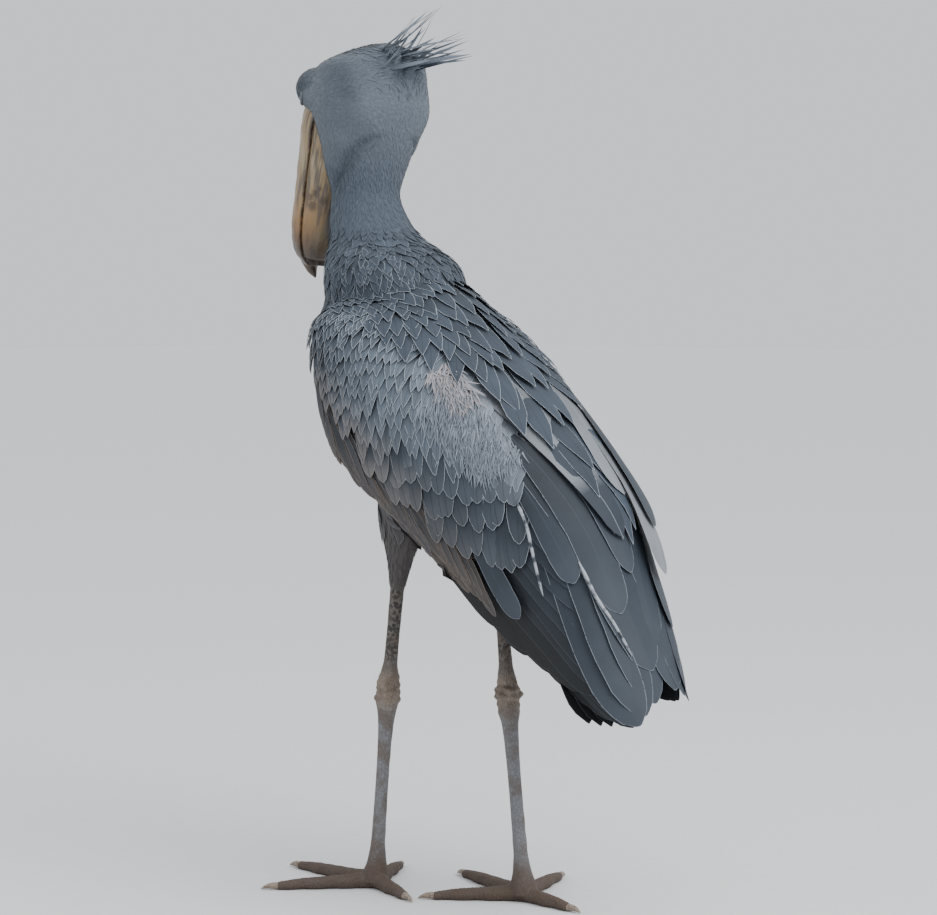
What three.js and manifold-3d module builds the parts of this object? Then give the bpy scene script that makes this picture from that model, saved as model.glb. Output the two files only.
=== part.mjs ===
// A shoebill, life size, standing and looking away over its right shoulder with its bill laid down along its neck.
// Millimetres. +X is the way the body heads, +Y is its left and +Z is up. The soles rest at z = 0.
import * as THREE from "three";
import { mergeVertices } from "three/addons/utils/BufferGeometryUtils.js";
import Module from "manifold-3d";

const wasm = await Module();
wasm.setup();

// Driving sizes
const GAP = 0.3; // kept between pieces that touch
const FINEST = 0.08; // no edge is left shorter than about this
const BODY_PITCH = THREE.MathUtils.degToRad(44); // the back slopes this steeply down to the tail
const SHOULDER = new THREE.Vector3(133, 0, 726); // where the body's own axes start
const HEAD_CENTRE = new THREE.Vector3(166, 0, 1003);
const HEAD_TURN = THREE.MathUtils.degToRad(-9); // the head looks a little further right than the body
const BILL_PITCH = THREE.MathUtils.degToRad(72); // below level
const EYE_RADIUS = 11.5;
const LID = 1.8; // thickness of the eyelids
const TARSUS_FOOT_HEIGHT = 20;
const TOE_LENGTH = 150; // the middle toe without its claw
const CLAW_LENGTH = 22;

// Materials, with the colours seen on the bird
const finish = (color, roughness) => new THREE.MeshStandardMaterial({ color, roughness, metalness: 0 });
const SLATE = finish("#5d6873", 0.85);
const DARK_SLATE = finish("#464f58", 0.8);
const HORN = finish("#b59a72", 0.5);
const IRIS = finish("#cfd2c6", 0.15);
const LEG_SKIN = finish("#77706b", 0.75);
const CLAW_HORN = finish("#3d3833", 0.45);

// A smooth curve through knots: rows of [position, value, value, ...], read at any position.
function profile(rows) {
  return (at) => {
    let k = 1;
    while (k < rows.length - 1 && at > rows[k][0]) k += 1;
    const share = THREE.MathUtils.clamp((at - rows[k - 1][0]) / (rows[k][0] - rows[k - 1][0]), 0, 1);
    const before = rows[Math.max(k - 2, 0)];
    const after = rows[Math.min(k + 1, rows.length - 1)];
    return rows[k].slice(1).map((end, i) => {
      const start = rows[k - 1][i + 1];
      const slopeIn = ((end - before[i + 1]) / (rows[k][0] - before[0])) * (rows[k][0] - rows[k - 1][0]);
      const slopeOut = ((after[i + 1] - start) / (after[0] - rows[k - 1][0])) * (rows[k][0] - rows[k - 1][0]);
      const t = share;
      return (
        start * (2 * t ** 3 - 3 * t ** 2 + 1) +
        slopeIn * (t ** 3 - 2 * t ** 2 + t) +
        end * (3 * t ** 2 - 2 * t ** 3) +
        slopeOut * (t ** 3 - t ** 2)
      );
    });
  };
}

// Evenly spaced numbers from low to high.
const spread = (low, high, count) => Array.from({ length: count }, (_, i) => low + ((high - low) * i) / (count - 1));

// A point given in the body's axes: back along the spine, out to the left, and up from the spine.
function onBody(back, left, up) {
  return new THREE.Vector3(-back, left, up).applyAxisAngle(new THREE.Vector3(0, 1, 0), -BODY_PITCH).add(SHOULDER);
}

// Turns a closed surface into a solid, whichever way its rings were wound.
function solidFrom(positions, triangles) {
  const geometry = new THREE.BufferGeometry();
  geometry.setAttribute("position", new THREE.Float32BufferAttribute(positions, 3));
  geometry.setIndex(triangles);
  return solid(geometry);
}

function solid(geometry) {
  const bare = new THREE.BufferGeometry().setAttribute("position", geometry.getAttribute("position"));
  if (geometry.index) bare.setIndex(geometry.index);
  const merged = mergeVertices(bare, 1e-3);
  const index = merged.index.array;
  const at = (i) => new THREE.Vector3().fromBufferAttribute(merged.attributes.position, i);
  const kept = [];
  let volume = 0;
  for (let i = 0; i < index.length; i += 3) {
    const [a, b, c] = [index[i], index[i + 1], index[i + 2]];
    if (a === b || b === c || a === c) continue;
    kept.push([a, b, c]);
    volume += at(a).dot(at(b).cross(at(c)));
  }
  const triVerts = new Uint32Array(kept.flatMap(([a, b, c]) => (volume < 0 ? [a, c, b] : [a, b, c])));
  return new wasm.Manifold(new wasm.Mesh({ numProp: 3, vertProperties: merged.attributes.position.array, triVerts }));
}

// Skins a row of rings that have the same number of points, and closes both ends to their middles.
function loft(rings) {
  const count = rings[0].length;
  const middle = (ring) => ring.reduce((sum, p) => sum.add(p), new THREE.Vector3()).divideScalar(count);
  const points = [...rings.flat(), middle(rings[0]), middle(rings.at(-1))];
  const first = rings.length * count;
  const triangles = [];
  for (let i = 0; i < count; i += 1) {
    const j = (i + 1) % count;
    const last = (rings.length - 1) * count;
    triangles.push(first, j, i, first + 1, last + i, last + j);
    for (let r = 0; r < rings.length - 1; r += 1) {
      const [a, b, c, d] = [r * count + i, r * count + j, (r + 1) * count + j, (r + 1) * count + i];
      triangles.push(a, b, c, a, c, d);
    }
  }
  return solidFrom(points.flatMap((p) => p.toArray()), triangles);
}

// An oval ring about a centre, spanned by two directions with their own half sizes.
function ovalRing(centre, across, upward, halfAcross, halfUpward, sides) {
  return spread(0, 2 * Math.PI, sides + 1)
    .slice(0, sides)
    .map((angle) =>
      centre
        .clone()
        .addScaledVector(across, halfAcross * Math.cos(angle))
        .addScaledVector(upward, halfUpward * Math.sin(angle)),
    );
}

// A limb with oval sections set square to its path. Each stop is { p, wide, deep }.
function limb(stops, sides, side = new THREE.Vector3(0, 1, 0)) {
  const rings = stops.map((stop, i) => {
    const ahead = stops[Math.min(i + 1, stops.length - 1)].p.clone().sub(stops[Math.max(i - 1, 0)].p).normalize();
    const across = side.clone().addScaledVector(ahead, -side.dot(ahead)).normalize();
    const upward = new THREE.Vector3().crossVectors(ahead, across);
    return ovalRing(stop.p, across, upward, stop.wide, stop.deep, sides);
  });
  return loft(rings);
}

const together = (solids) => wasm.Manifold.union(solids);

// Joins solids and keeps the largest closed surface of the result.
function joined(solids) {
  const pieces = together(solids).decompose();
  return pieces.reduce((best, piece) => (piece.volume() > best.volume() ? piece : best));
}

const largest = (made) => joined([made]);

// A feather's vane. place(share, aside, lift) gives a point at a share of its length; each stop is [share, half
// width]. Both faces are split into triangles alike, so that a thin vane can bend.
function vane(place, stops, { thick = 0.8, columns = 1, extra = 0 } = {}) {
  const points = [];
  stops.forEach(([share, half], row) => {
    const reach = row === 0 ? share - extra / 60 : row === stops.length - 1 ? share + extra / 60 : share;
    for (const face of [1, -1]) {
      for (let column = 0; column <= columns; column += 1) {
        const aside = (1 - (2 * column) / columns) * (half + extra);
        points.push(place(reach, aside, face * (thick / 2 + extra)));
      }
    }
  });
  const at = (row, face, column) => (2 * row + (face < 0 ? 1 : 0)) * (columns + 1) + column;
  const triangles = [];
  const quad = (a, b, c, d) => triangles.push(a, b, c, a, c, d);
  for (let row = 0; row < stops.length - 1; row += 1) {
    for (let column = 0; column < columns; column += 1) {
      quad(at(row, 1, column), at(row, 1, column + 1), at(row + 1, 1, column + 1), at(row + 1, 1, column));
      triangles.push(at(row, -1, column), at(row + 1, -1, column + 1), at(row, -1, column + 1));
      triangles.push(at(row, -1, column), at(row + 1, -1, column), at(row + 1, -1, column + 1));
    }
    quad(at(row, 1, 0), at(row + 1, 1, 0), at(row + 1, -1, 0), at(row, -1, 0));
    quad(at(row, 1, columns), at(row, -1, columns), at(row + 1, -1, columns), at(row + 1, 1, columns));
  }
  const last = stops.length - 1;
  for (let column = 0; column < columns; column += 1) {
    quad(at(0, 1, column), at(0, -1, column), at(0, -1, column + 1), at(0, 1, column + 1));
    quad(at(last, 1, column), at(last, 1, column + 1), at(last, -1, column + 1), at(last, -1, column));
  }
  return solidFrom(points.flatMap((point) => point.toArray()), triangles);
}

// Stops for a vane with a rounded tip, and for a long flight feather.
const coverStops = (wide) => [[0, 0.3 * wide], [0.5, 0.5 * wide], [0.84, 0.4 * wide], [1, 0.12 * wide]];
const flightStops = (wide) => [
  [0, 0.3 * wide],
  [0.45, 0.5 * wide],
  [0.88, 0.4 * wide],
  [1, 0.1 * wide],
];

// The same small sway for the same number, so that like feathers are not copies.
const sway = (number) => Math.sin(number * 12.9898) * 0.5 + Math.sin(number * 4.1414) * 0.5;

// Torso: back from the shoulder, lowest and highest point above the spine line, and half width.
const torsoAt = profile([
  [-78, -16, 6, 12],
  [-58, -60, 40, 50],
  [-20, -96, 80, 86],
  [50, -122, 110, 106],
  [130, -136, 116, 113],
  [220, -138, 112, 112],
  [310, -126, 94, 100],
  [390, -102, 70, 80],
  [450, -78, 46, 56],
  [490, -54, 24, 32],
]);

function torsoCore(extra) {
  const stops = [-78, -66, -46, -10, 45, 110, 175, 240, 305, 370, 430, 470, 490];
  const rings = stops.map((back) => {
    const [low, high, half] = torsoAt(back);
    return spread(0, 2 * Math.PI, 21)
      .slice(0, 20)
      .map((angle) =>
        onBody(
          back + (back < 0 ? -extra : 0) + (back > 480 ? extra : 0),
          (half + extra) * Math.cos(angle),
          (low + high) / 2 + ((high - low) / 2 + extra) * Math.sin(angle),
        ),
      );
  });
  return loft(rings);
}

// Neck: height, forward place, half depth and half width.
const neckAt = profile([
  [735, 110, 92, 90],
  [775, 115, 92, 92],
  [800, 124, 84, 84],
  [826, 146, 65, 63],
  [850, 160, 56, 54],
  [885, 168, 48, 46],
  [920, 167, 51, 52],
  [965, 160, 54, 56],
]);

function neck(extra) {
  const rings = [735, 760, 782, 802, 822, 842, 866, 892, 920, 945, 965].map((height) => {
    const [forward, deep, wide] = neckAt(height);
    return ovalRing(
      new THREE.Vector3(forward, 0, height + (height > 960 ? extra : 0)),
      new THREE.Vector3(1, 0, 0),
      new THREE.Vector3(0, 1, 0),
      deep + extra,
      wide + extra,
      18,
    );
  });
  return loft(rings);
}

// A point given in the head's axes: forward, left and up, with the face turned to one side.
function onHead(forward, left, up) {
  return new THREE.Vector3(forward, left, up).applyAxisAngle(new THREE.Vector3(0, 0, 1), HEAD_TURN).add(HEAD_CENTRE);
}

// Head: level, forward place, half depth and half width.
const headAt = profile([
  [-92, 0, 55, 55],
  [-60, -5, 62, 61],
  [-35, -8, 72, 68],
  [-10, -9, 80, 75],
  [20, -8, 80, 73],
  [45, -10, 76, 68],
  [62, -20, 62, 54],
  [74, -28, 44, 38],
  [82, -36, 20, 16],
]);

function headCore(extra) {
  const rings = [-92, -80, -62, -40, -15, 10, 32, 50, 64, 75, 82].map((up) => {
    const [forward, deep, wide] = headAt(up);
    const ring = ovalRing(
      new THREE.Vector3(forward, 0, up),
      new THREE.Vector3(1, 0, 0),
      new THREE.Vector3(0, 1, 0),
      deep + extra,
      wide + extra,
      20,
    );
    return ring.map((p) => onHead(p.x, p.y, p.z));
  });
  return loft(rings);
}

// Bill: the base sits in the face; distance down the bill, half width, height of the culmen, depth of the chin.
const BILL_BASE = { forward: 50, up: -14 };
const billAt = profile([
  [-30, 30, 36, 26],
  [0, 47, 52, 40],
  [50, 46, 49, 40],
  [110, 42, 45, 36],
  [160, 37, 44, 30],
  [190, 27, 38, 20],
  [205, 13, 26, 9],
]);

// A point given in the bill's axes: down its length, left, and out from its middle line towards the culmen.
function onBill(along, left, out) {
  const [cos, sin] = [Math.cos(BILL_PITCH), Math.sin(BILL_PITCH)];
  return onHead(BILL_BASE.forward + along * cos + out * sin, left, BILL_BASE.up - along * sin + out * cos);
}

// Half of the upper bill's section, mirrored: a steep side, a groove and the ridge of the culmen.
const BILL_SIDE = [[1, 0], [0.98, 0.34], [0.8, 0.7], [0.44, 0.86], [0.36, 0.85], [0.24, 0.97]];
const BILL_SECTION = [...BILL_SIDE, [0, 1], ...BILL_SIDE.map(([across, high]) => [-across, high]).reverse()];
const BILL_STOPS = [-30, 0, 40, 80, 120, 150, 175, 192, 205];

function billUpper(extra) {
  const rings = [BILL_STOPS[0] - extra, ...BILL_STOPS.slice(1)].map((along) => {
    const [wide, ridge] = billAt(along);
    return BILL_SECTION.map(([across, high]) =>
      onBill(along, (wide + extra) * across, (ridge + 2 * extra) * high - extra),
    );
  });
  return loft(rings);
}

function hook(extra) {
  const stops = [
    { along: 178, out: 20, size: 17 },
    { along: 194, out: 20, size: 14 },
    { along: 206, out: 14, size: 10 },
    { along: 214, out: 6, size: 5.5 },
    { along: 220, out: -2, size: 1.2 },
  ];
  return limb(
    stops.map((stop) => ({ p: onBill(stop.along, 0, stop.out), wide: stop.size + extra, deep: stop.size + extra })),
    10,
  );
}

function billLower(extra) {
  const rings = [BILL_STOPS[0] - extra, ...BILL_STOPS.slice(1, -1)].map((along) => {
    const [wide, , chin] = billAt(along);
    return spread(0, Math.PI, 9).map((angle) =>
      onBill(along, (wide - 3 + extra) * Math.cos(angle), 2 * extra - GAP - (chin + 3 * extra) * Math.sin(angle)),
    );
  });
  return loft(rings);
}

// Folded wing: back from the shoulder, half width of the body there, highest and lowest edge.
const wingAt = profile([
  [-10, 98, 26, -20],
  [0, 120, 42, -28],
  [20, 136, 60, -38],
  [60, 141, 86, -60],
  [100, 141, 100, -80],
  [140, 139, 108, -96],
  [200, 134, 113, -103],
  [270, 118, 114, -101],
  [350, 100, 110, -97],
  [430, 88, 96, -90],
  [510, 75, 60, -70],
  [585, 66, 24, -58],
  [640, 55, -4, -38],
  [664, 49, -16, -24],
]);
const UPPER_TURN = 1.35; // radians that the wing's upper half turns over the back
const LOWER_EDGE = -Math.sin(UPPER_TURN) / UPPER_TURN; // the lower half runs straight down from the widest line

// A point on the folded wing: q is 1 at the upper edge, 0 at the widest line and LOWER_EDGE at the lower edge.
function wingPoint(side, back, q, lift) {
  const bare = (b, r) => {
    const [half, top, low] = wingAt(b);
    const reach = (top - low) / 2;
    const angle = r * UPPER_TURN;
    const up = r > 0 ? Math.sin(angle) / Math.sin(UPPER_TURN) : angle / Math.sin(UPPER_TURN);
    const out = r > 0 ? Math.max(Math.cos(angle), 0) ** 0.8 : 1 - 0.2 * Math.min(r * r, LOWER_EDGE ** 2);
    return onBody(b, side * half * out, (top + low) / 2 + reach * up);
  };
  const p = bare(back, q);
  if (lift === 0) return p;
  const [step, turn] = [0.5, 0.004];
  const along = bare(back + step, q).sub(bare(back - step, q));
  const over = bare(back, Math.min(q + turn, 1)).sub(bare(back, q - turn));
  const out = new THREE.Vector3().crossVectors(along, over).normalize().multiplyScalar(-side);
  return p.addScaledVector(out, -lift);
}

// The turn q at which the wing's surface is this high above the spine line.
function turnAt(back, up) {
  const [, top, low] = wingAt(back);
  const angle = ((up - (top + low) / 2) / ((top - low) / 2)) * Math.sin(UPPER_TURN);
  return (angle > 0 ? Math.asin(Math.min(angle, 0.999)) : angle) / UPPER_TURN;
}

// The wing's fleshy part with its bases of feathers, thinning to nothing where the long feathers take over.
function wingCore(side) {
  const thick = profile([[-10, 18], [40, 32], [280, 32], [330, 14], [372, 3]]);
  const rings = [-10, 2, 26, 70, 130, 200, 265, 310, 344, 372].map((back) => {
    const qs = spread(LOWER_EDGE, 1, 6);
    const outer = qs.map((q) => wingPoint(side, back, q, 0));
    const inner = qs.map((q) => wingPoint(side, back, q, -thick(back)[0]));
    return [...outer, ...inner.reverse()];
  });
  return loft(rings);
}

// A feather on the wing, from its root to its tip, each [back, up]. Its two lifts are heights off the surface.
function wingFeather(side, root, tip, wide, lifts, stops, shape) {
  const [along, over] = [tip[0] - root[0], tip[1] - root[1]];
  const length = Math.hypot(along, over);
  const place = (share, aside, lift) => {
    const back = root[0] + along * share - (over / length) * aside;
    const up = root[1] + over * share + (along / length) * aside;
    const base = lifts[0] + (lifts[1] - lifts[0]) * Math.min(share * lifts[2], 1) + 0.03 * aside;
    return wingPoint(side, back, turnAt(back, up), base + lift);
  };
  return vane(place, stops(wide), shape);
}

// Long feathers of the wing: root, tip and height in the stack, from the lowest primary to the top tertial.
const FLIGHT = [
  { root: [264, -54], tip: [572, -48], lift: -8 },
  { root: [268, -38], tip: [640, -36], lift: -6.4 },
  { root: [270, -24], tip: [668, -16], lift: -4.8 },
  { root: [262, -72], tip: [490, -71], lift: -3.2 },
  { root: [278, -44], tip: [574, -40], lift: -1.6 },
  { root: [290, -12], tip: [612, -8], lift: 0 },
  { root: [298, 18], tip: [584, 18], lift: 1.6 },
  { root: [300, 44], tip: [534, 40], lift: 3.2 },
  { root: [296, 70], tip: [490, 60], lift: 4.8 },
];
const FLIGHT_WIDTH = 46;

// Rows of coverts, each from its lowest tip to its highest, counted from the greater coverts forward.
const COVERTS = [
  { from: [348, -82], to: [478, 16], count: 3, length: 120, wide: 52 },
  { from: [242, -80], to: [396, 56], count: 4, length: 98, wide: 52 },
  { from: [166, -78], to: [350, 80], count: 4, length: 84, wide: 54 },
  { from: [104, -52], to: [286, 88], count: 3, length: 76, wide: 56 },
  { from: [58, -18], to: [206, 88], count: 2, length: 60, wide: 56 },
];

function wingFeathers(side) {
  const flight = FLIGHT.map(({ root, tip, lift }) =>
    wingFeather(side, root, tip, FLIGHT_WIDTH, [Math.min(lift - 6, -4), lift, 2.5], flightStops),
  );
  const coverts = COVERTS.flatMap(({ from, to, count, length, wide }, row) =>
    spread(0, 1, count).map((share, i) => {
      const tip = [from[0] + (to[0] - from[0]) * share, from[1] + (to[1] - from[1]) * share];
      const rear = THREE.MathUtils.smoothstep(tip[0], 100, 420);
      const lie = THREE.MathUtils.degToRad(-46 + 36 * rear + 4 * sway(row * 11 + i));
      const root = [Math.max(tip[0] - length * Math.cos(lie), 8), tip[1] - length * Math.sin(lie)];
      return wingFeather(side, root, tip, wide, [-5, 5 + 5 * rear * share, 1], coverStops);
    }),
  );
  return [...flight, ...coverts];
}

// A point on the back, outside both the torso and the folded wing, with q as on the wing and 1.16 at the spine.
function backPoint(side, back, q, lift) {
  const [half, top, low] = wingAt(back);
  const angle = q * UPPER_TURN;
  const [bottom, crown, wide] = torsoAt(back);
  const [middle, tall] = [(bottom + crown) / 2, (crown - bottom) / 2];
  let out = half * Math.max(Math.cos(angle), -1) * Math.abs(Math.cos(angle)) ** -0.2;
  let up = (top + low) / 2 + (((top - low) / 2) * Math.sin(angle)) / Math.sin(UPPER_TURN);
  const inside = Math.hypot(out / wide, (up - middle) / tall);
  if (inside < 1 && back < 470) {
    out /= inside;
    up = middle + (up - middle) / inside;
  }
  return onBody(back, side * (out + lift * Math.cos(angle)), up + lift * Math.sin(angle));
}

// Scapulars and long inner tertials: tips as [back, q], from the wing's edge up to the spine.
const SCAPULARS = [
  { tips: [[110, 0.78], [108, 1.05]], length: 54, wide: 42 },
  { tips: [[178, 0.74], [158, 1.0]], length: 90, wide: 46 },
  { tips: [[248, 0.76], [222, 1.03]], length: 112, wide: 46 },
  { tips: [[328, 0.8], [298, 1.04]], length: 140, wide: 48 },
  { tips: [[394, 0.87], [368, 1.07]], length: 165, wide: 48 },
  { tips: [[457, 1.04]], length: 200, wide: 48 },
];

function scapulars(extra) {
  return [1, -1].flatMap((side) =>
    SCAPULARS.flatMap(({ tips, length, wide }, row) =>
      tips.map(([back, q], i) => {
        const rootTurn = THREE.MathUtils.clamp(q + 0.2, 1, 1.12);
        const arc = (rootTurn - q) * UPPER_TURN * 105;
        const rootBack = back - Math.sqrt(length ** 2 - arc ** 2);
        const high = 12 + 1.2 * i + (side > 0 ? 0.6 : 0) + 0.4 * sway(row * 5 + i);
        const place = (share, aside, lift) => {
          const here = rootTurn + (q - rootTurn) * share + aside / (UPPER_TURN * 105);
          const base = -4 + (high + 4) * Math.min(share * 1.3, 1) + 0.04 * aside;
          return backPoint(side, rootBack + (back - rootBack) * share, here, base + lift);
        };
        return vane(place, coverStops(wide), { extra });
      }),
    ),
  );
}

// Tail: a short rump with twelve feathers spread from it, the middle ones on top.
const TAIL_FEATHERS = 12;
const TAIL_ROOT = 476;
const TAIL_TIP = 622;

function tail() {
  const stops = [
    { back: 440, up: -34, wide: 30, thick: 24 },
    { back: 475, up: -44, wide: 38, thick: 19 },
    { back: 520, up: -54, wide: 36, thick: 7 },
  ];
  const rings = stops.map(({ back, up, wide, thick }) =>
    spread(0, 2 * Math.PI, 15)
      .slice(0, 14)
      .map((angle) => onBody(back, wide * Math.cos(angle), up + thick * Math.sin(angle))),
  );
  const feathers = spread(-1, 1, TAIL_FEATHERS).map((turn) => {
    const tip = TAIL_TIP - 14 * turn ** 2;
    const high = 5 - 6 * Math.abs(turn) + (turn > 0 ? 0.6 : 0);
    const place = (share, aside, lift) => {
      const back = TAIL_ROOT + (tip - TAIL_ROOT) * share;
      const left = turn * (24 + 26 * share) + aside;
      return onBody(back, left, -46 - 25 * share + high * share + 0.03 * aside * Math.sign(turn) + lift);
    };
    return vane(place, flightStops(23));
  });
  return joined([loft(rings), ...feathers]);
}

// Crest: slender feathers that stand back from the crown, each with its root in the head.
const CREST = [
  { root: [-58, 4, 56], tip: [-118, -26, 112], wide: 9 },
  { root: [-64, 18, 52], tip: [-136, 26, 90], wide: 10 },
  { root: [-66, -14, 46], tip: [-146, -52, 80], wide: 10 },
  { root: [-72, 2, 42], tip: [-158, -18, 68], wide: 11 },
  { root: [-70, 20, 40], tip: [-140, 38, 64], wide: 10 },
  { root: [-72, -16, 36], tip: [-150, -54, 54], wide: 11 },
  { root: [-76, 6, 30], tip: [-144, 4, 44], wide: 10 },
];

function crest() {
  return CREST.map(({ root, tip, wide }) => {
    const [start, end] = [onHead(...root), onHead(...tip)];
    const ahead = end.clone().sub(start).normalize();
    const aside = new THREE.Vector3(0, 0, 1).cross(ahead).normalize();
    const upward = new THREE.Vector3().crossVectors(ahead, aside);
    const droop = 0.07 * end.distanceTo(start);
    const place = (share, off, lift) =>
      start
        .clone()
        .lerp(end, share)
        .addScaledVector(aside, off)
        .addScaledVector(upward, lift + droop * 4 * share * (1 - share));
    return vane(place, [[0, wide / 2], [0.4, wide / 2.2], [0.75, wide / 3.5], [1, 0.5]], { thick: 1.4 });
  });
}

// A smooth egg shape about a centre in the head's axes.
function headLobe([forward, left, up], [long, wide, high]) {
  const ball = new THREE.SphereGeometry(1, 12, 9).scale(long, wide, high).rotateZ(HEAD_TURN);
  const centre = onHead(forward, left, up);
  return solid(ball.translate(centre.x, centre.y, centre.z));
}

// The feathered forehead, which overhangs the eyes and the bill's base.
const forehead = () => [1, -1].map((side) => headLobe([56, side * 30, 20], [34, 36, 30]));

// Legs: the places of the joints, for each leg.
const LEGS = {
  left: { side: 1, hip: [48, 50, 500], ankle: [82, 47, 256], foot: [104, 47, TARSUS_FOOT_HEIGHT], heading: -3 },
  right: { side: -1, hip: [-26, -34, 500], ankle: [-62, -20, 258], foot: [-82, -27, TARSUS_FOOT_HEIGHT], heading: -18 },
};

function legPoints({ hip, ankle, foot }) {
  const [top, middle, bottom] = [hip, ankle, foot].map((xyz) => new THREE.Vector3(...xyz));
  const bare = middle.clone().lerp(top, 0.54); // where the feathers end
  return { top, middle, bottom, bare };
}

function thigh(leg) {
  const { top, bare } = legPoints(leg);
  const at = (share) => top.clone().lerp(bare, share);
  return limb(
    [
      { p: at(0), wide: 30, deep: 44 },
      { p: at(0.3), wide: 26, deep: 33 },
      { p: at(0.62), wide: 17, deep: 21 },
      { p: at(0.86), wide: 12.5, deep: 14 },
      { p: at(1), wide: 11, deep: 12 },
    ],
    14,
  );
}

function shank(leg) {
  const { bare, middle } = legPoints(leg);
  const down = middle.clone().sub(bare).normalize();
  const from = bare.clone().addScaledVector(down, GAP);
  const at = (share) => from.clone().lerp(middle, share);
  return limb(
    [
      { p: at(0), wide: 9, deep: 9.5 },
      { p: at(0.7), wide: 8.5, deep: 9.5 },
      { p: at(0.88), wide: 13, deep: 14 },
      { p: at(0.98), wide: 15.5, deep: 16.5 },
    ],
    12,
  );
}

function tarsus(leg, extra) {
  const { middle, bottom } = legPoints(leg);
  const at = (share) => middle.clone().lerp(bottom, share);
  return limb(
    [
      { p: at(-0.02 - extra / 200), wide: 10 + extra, deep: 11 + extra },
      { p: at(0), wide: 15.5 + extra, deep: 16.5 + extra },
      { p: at(0.08), wide: 13.5, deep: 15 },
      { p: at(0.15), wide: 10, deep: 11.5 },
      { p: at(0.5), wide: 8, deep: 8.5 },
      { p: at(0.85), wide: 9.5, deep: 9.5 },
      { p: at(0.93), wide: 12, deep: 12 },
    ],
    12,
  );
}

// Toes: turn outwards from the foot's heading, share of the middle toe's length.
const TOES = [
  { turn: 165, share: 0.52 },
  { turn: -58, share: 0.74 },
  { turn: 0, share: 1 },
  { turn: 52, share: 0.84 },
];

function toe(leg, { turn, share }) {
  const direction = new THREE.Vector3(1, 0, 0).applyAxisAngle(
    new THREE.Vector3(0, 0, 1),
    THREE.MathUtils.degToRad(leg.heading + leg.side * turn),
  );
  const { bottom } = legPoints(leg);
  const length = TOE_LENGTH * share;
  const sizes = [12, 9.5, 8.5, 7.5, 5.5];
  const stops = sizes.map((size, i) => {
    const out = (i / (sizes.length - 1)) * length;
    const p = new THREE.Vector3(bottom.x, bottom.y, size - 1).addScaledVector(direction, out);
    return { p, wide: size, deep: size };
  });
  const tip = stops.at(-1);
  return { body: limb(stops, 8, new THREE.Vector3(-direction.y, direction.x, 0)), direction, tip };
}

const floorCut = solid(new THREE.BoxGeometry(2000, 2000, 200).translate(0, 0, -100));

function foot(leg) {
  const { middle, bottom } = legPoints(leg);
  const up = middle.clone().sub(bottom).normalize();
  const at = (distance) => bottom.clone().addScaledVector(up, distance);
  const reach = middle.distanceTo(bottom) * 0.07 - GAP;
  const pad = limb(
    [
      { p: at(reach), wide: 12, deep: 12 },
      { p: at(0), wide: 17, deep: 17 },
      { p: at(-12), wide: 20, deep: 20 },
      { p: at(-26), wide: 17, deep: 17 },
    ],
    12,
  );
  return largest(joined([pad, ...TOES.map((each) => toe(leg, each).body)]).subtract(floorCut));
}

function claw(leg, each) {
  const { direction, tip } = toe(leg, each);
  const at = (out, up) => tip.p.clone().addScaledVector(direction, out).add(new THREE.Vector3(0, 0, up));
  const size = tip.wide * 0.8;
  const made = limb(
    [
      { p: at(1.5 * GAP, 0), wide: size, deep: size },
      { p: at(CLAW_LENGTH * 0.5, 0), wide: size * 0.66, deep: size * 0.75 },
      { p: at(CLAW_LENGTH, -tip.wide + 2.6), wide: 0.8, deep: 1.2 },
    ],
    6,
    new THREE.Vector3(-direction.y, direction.x, 0),
  );
  return largest(made.subtract(floorCut));
}

// A solid's surface, moved so that a given place is its zero point.
function surface(made, zero) {
  const mesh = made.getMesh();
  const geometry = new THREE.BufferGeometry();
  geometry.setAttribute("position", new THREE.BufferAttribute(Float32Array.from(mesh.vertProperties), 3));
  geometry.setIndex(new THREE.BufferAttribute(mesh.triVerts, 1));
  return geometry.translate(-zero.x, -zero.y, -zero.z);
}

// A named mesh whose own zero point is the joint it hangs from, placed there.
function node(name, made, pivot, material) {
  const rounded = solid(surface(largest(made.simplify(FINEST)), pivot));
  const settled = largest(rounded.simplify(FINEST));
  const result = new THREE.Mesh(surface(settled, new THREE.Vector3()), material);
  result.name = name;
  result.position.copy(pivot);
  return result;
}

const bird = new THREE.Group();
const add = (...parts) => bird.add(node(...parts));
const torsoClear = torsoCore(GAP);
const scapularsClear = together(scapulars(3 * GAP));
const clearOfBack = (made) => made.subtract(torsoClear).subtract(scapularsClear);
add("torso", joined([torsoCore(0), ...scapulars(0)]), SHOULDER, SLATE);
add("neck", clearOfBack(neck(0)), new THREE.Vector3(150, 0, 770), SLATE);
const eyes = [1, -1].map((side) => ({
  side,
  name: side > 0 ? "eye_left" : "eye_right",
  centre: onHead(48, side * 56, 6),
}));
const ball = (centre, radius) =>
  solid(new THREE.SphereGeometry(radius, 12, 8).translate(centre.x, centre.y, centre.z));
// The space between the lids: an egg set just outside the eye.
function lidOpening({ centre, side }) {
  const outward = onHead(0.5, side, 0.1).sub(HEAD_CENTRE).normalize();
  const opening = new THREE.SphereGeometry(1, 10, 7).scale(9.5, 9, 7.5).rotateZ(HEAD_TURN);
  const place = centre.clone().addScaledVector(outward, EYE_RADIUS + 1);
  return solid(opening.translate(place.x, place.y, place.z));
}

// A nostril: a narrow slot in the groove beside the culmen.
function nostril(side) {
  const slot = new THREE.SphereGeometry(1, 10, 6).scale(3, 1.4, 7).rotateY(Math.PI / 2 - BILL_PITCH).rotateZ(HEAD_TURN);
  const place = onBill(24, side * 19, 43);
  return solid(slot.translate(place.x, place.y, place.z));
}

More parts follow.
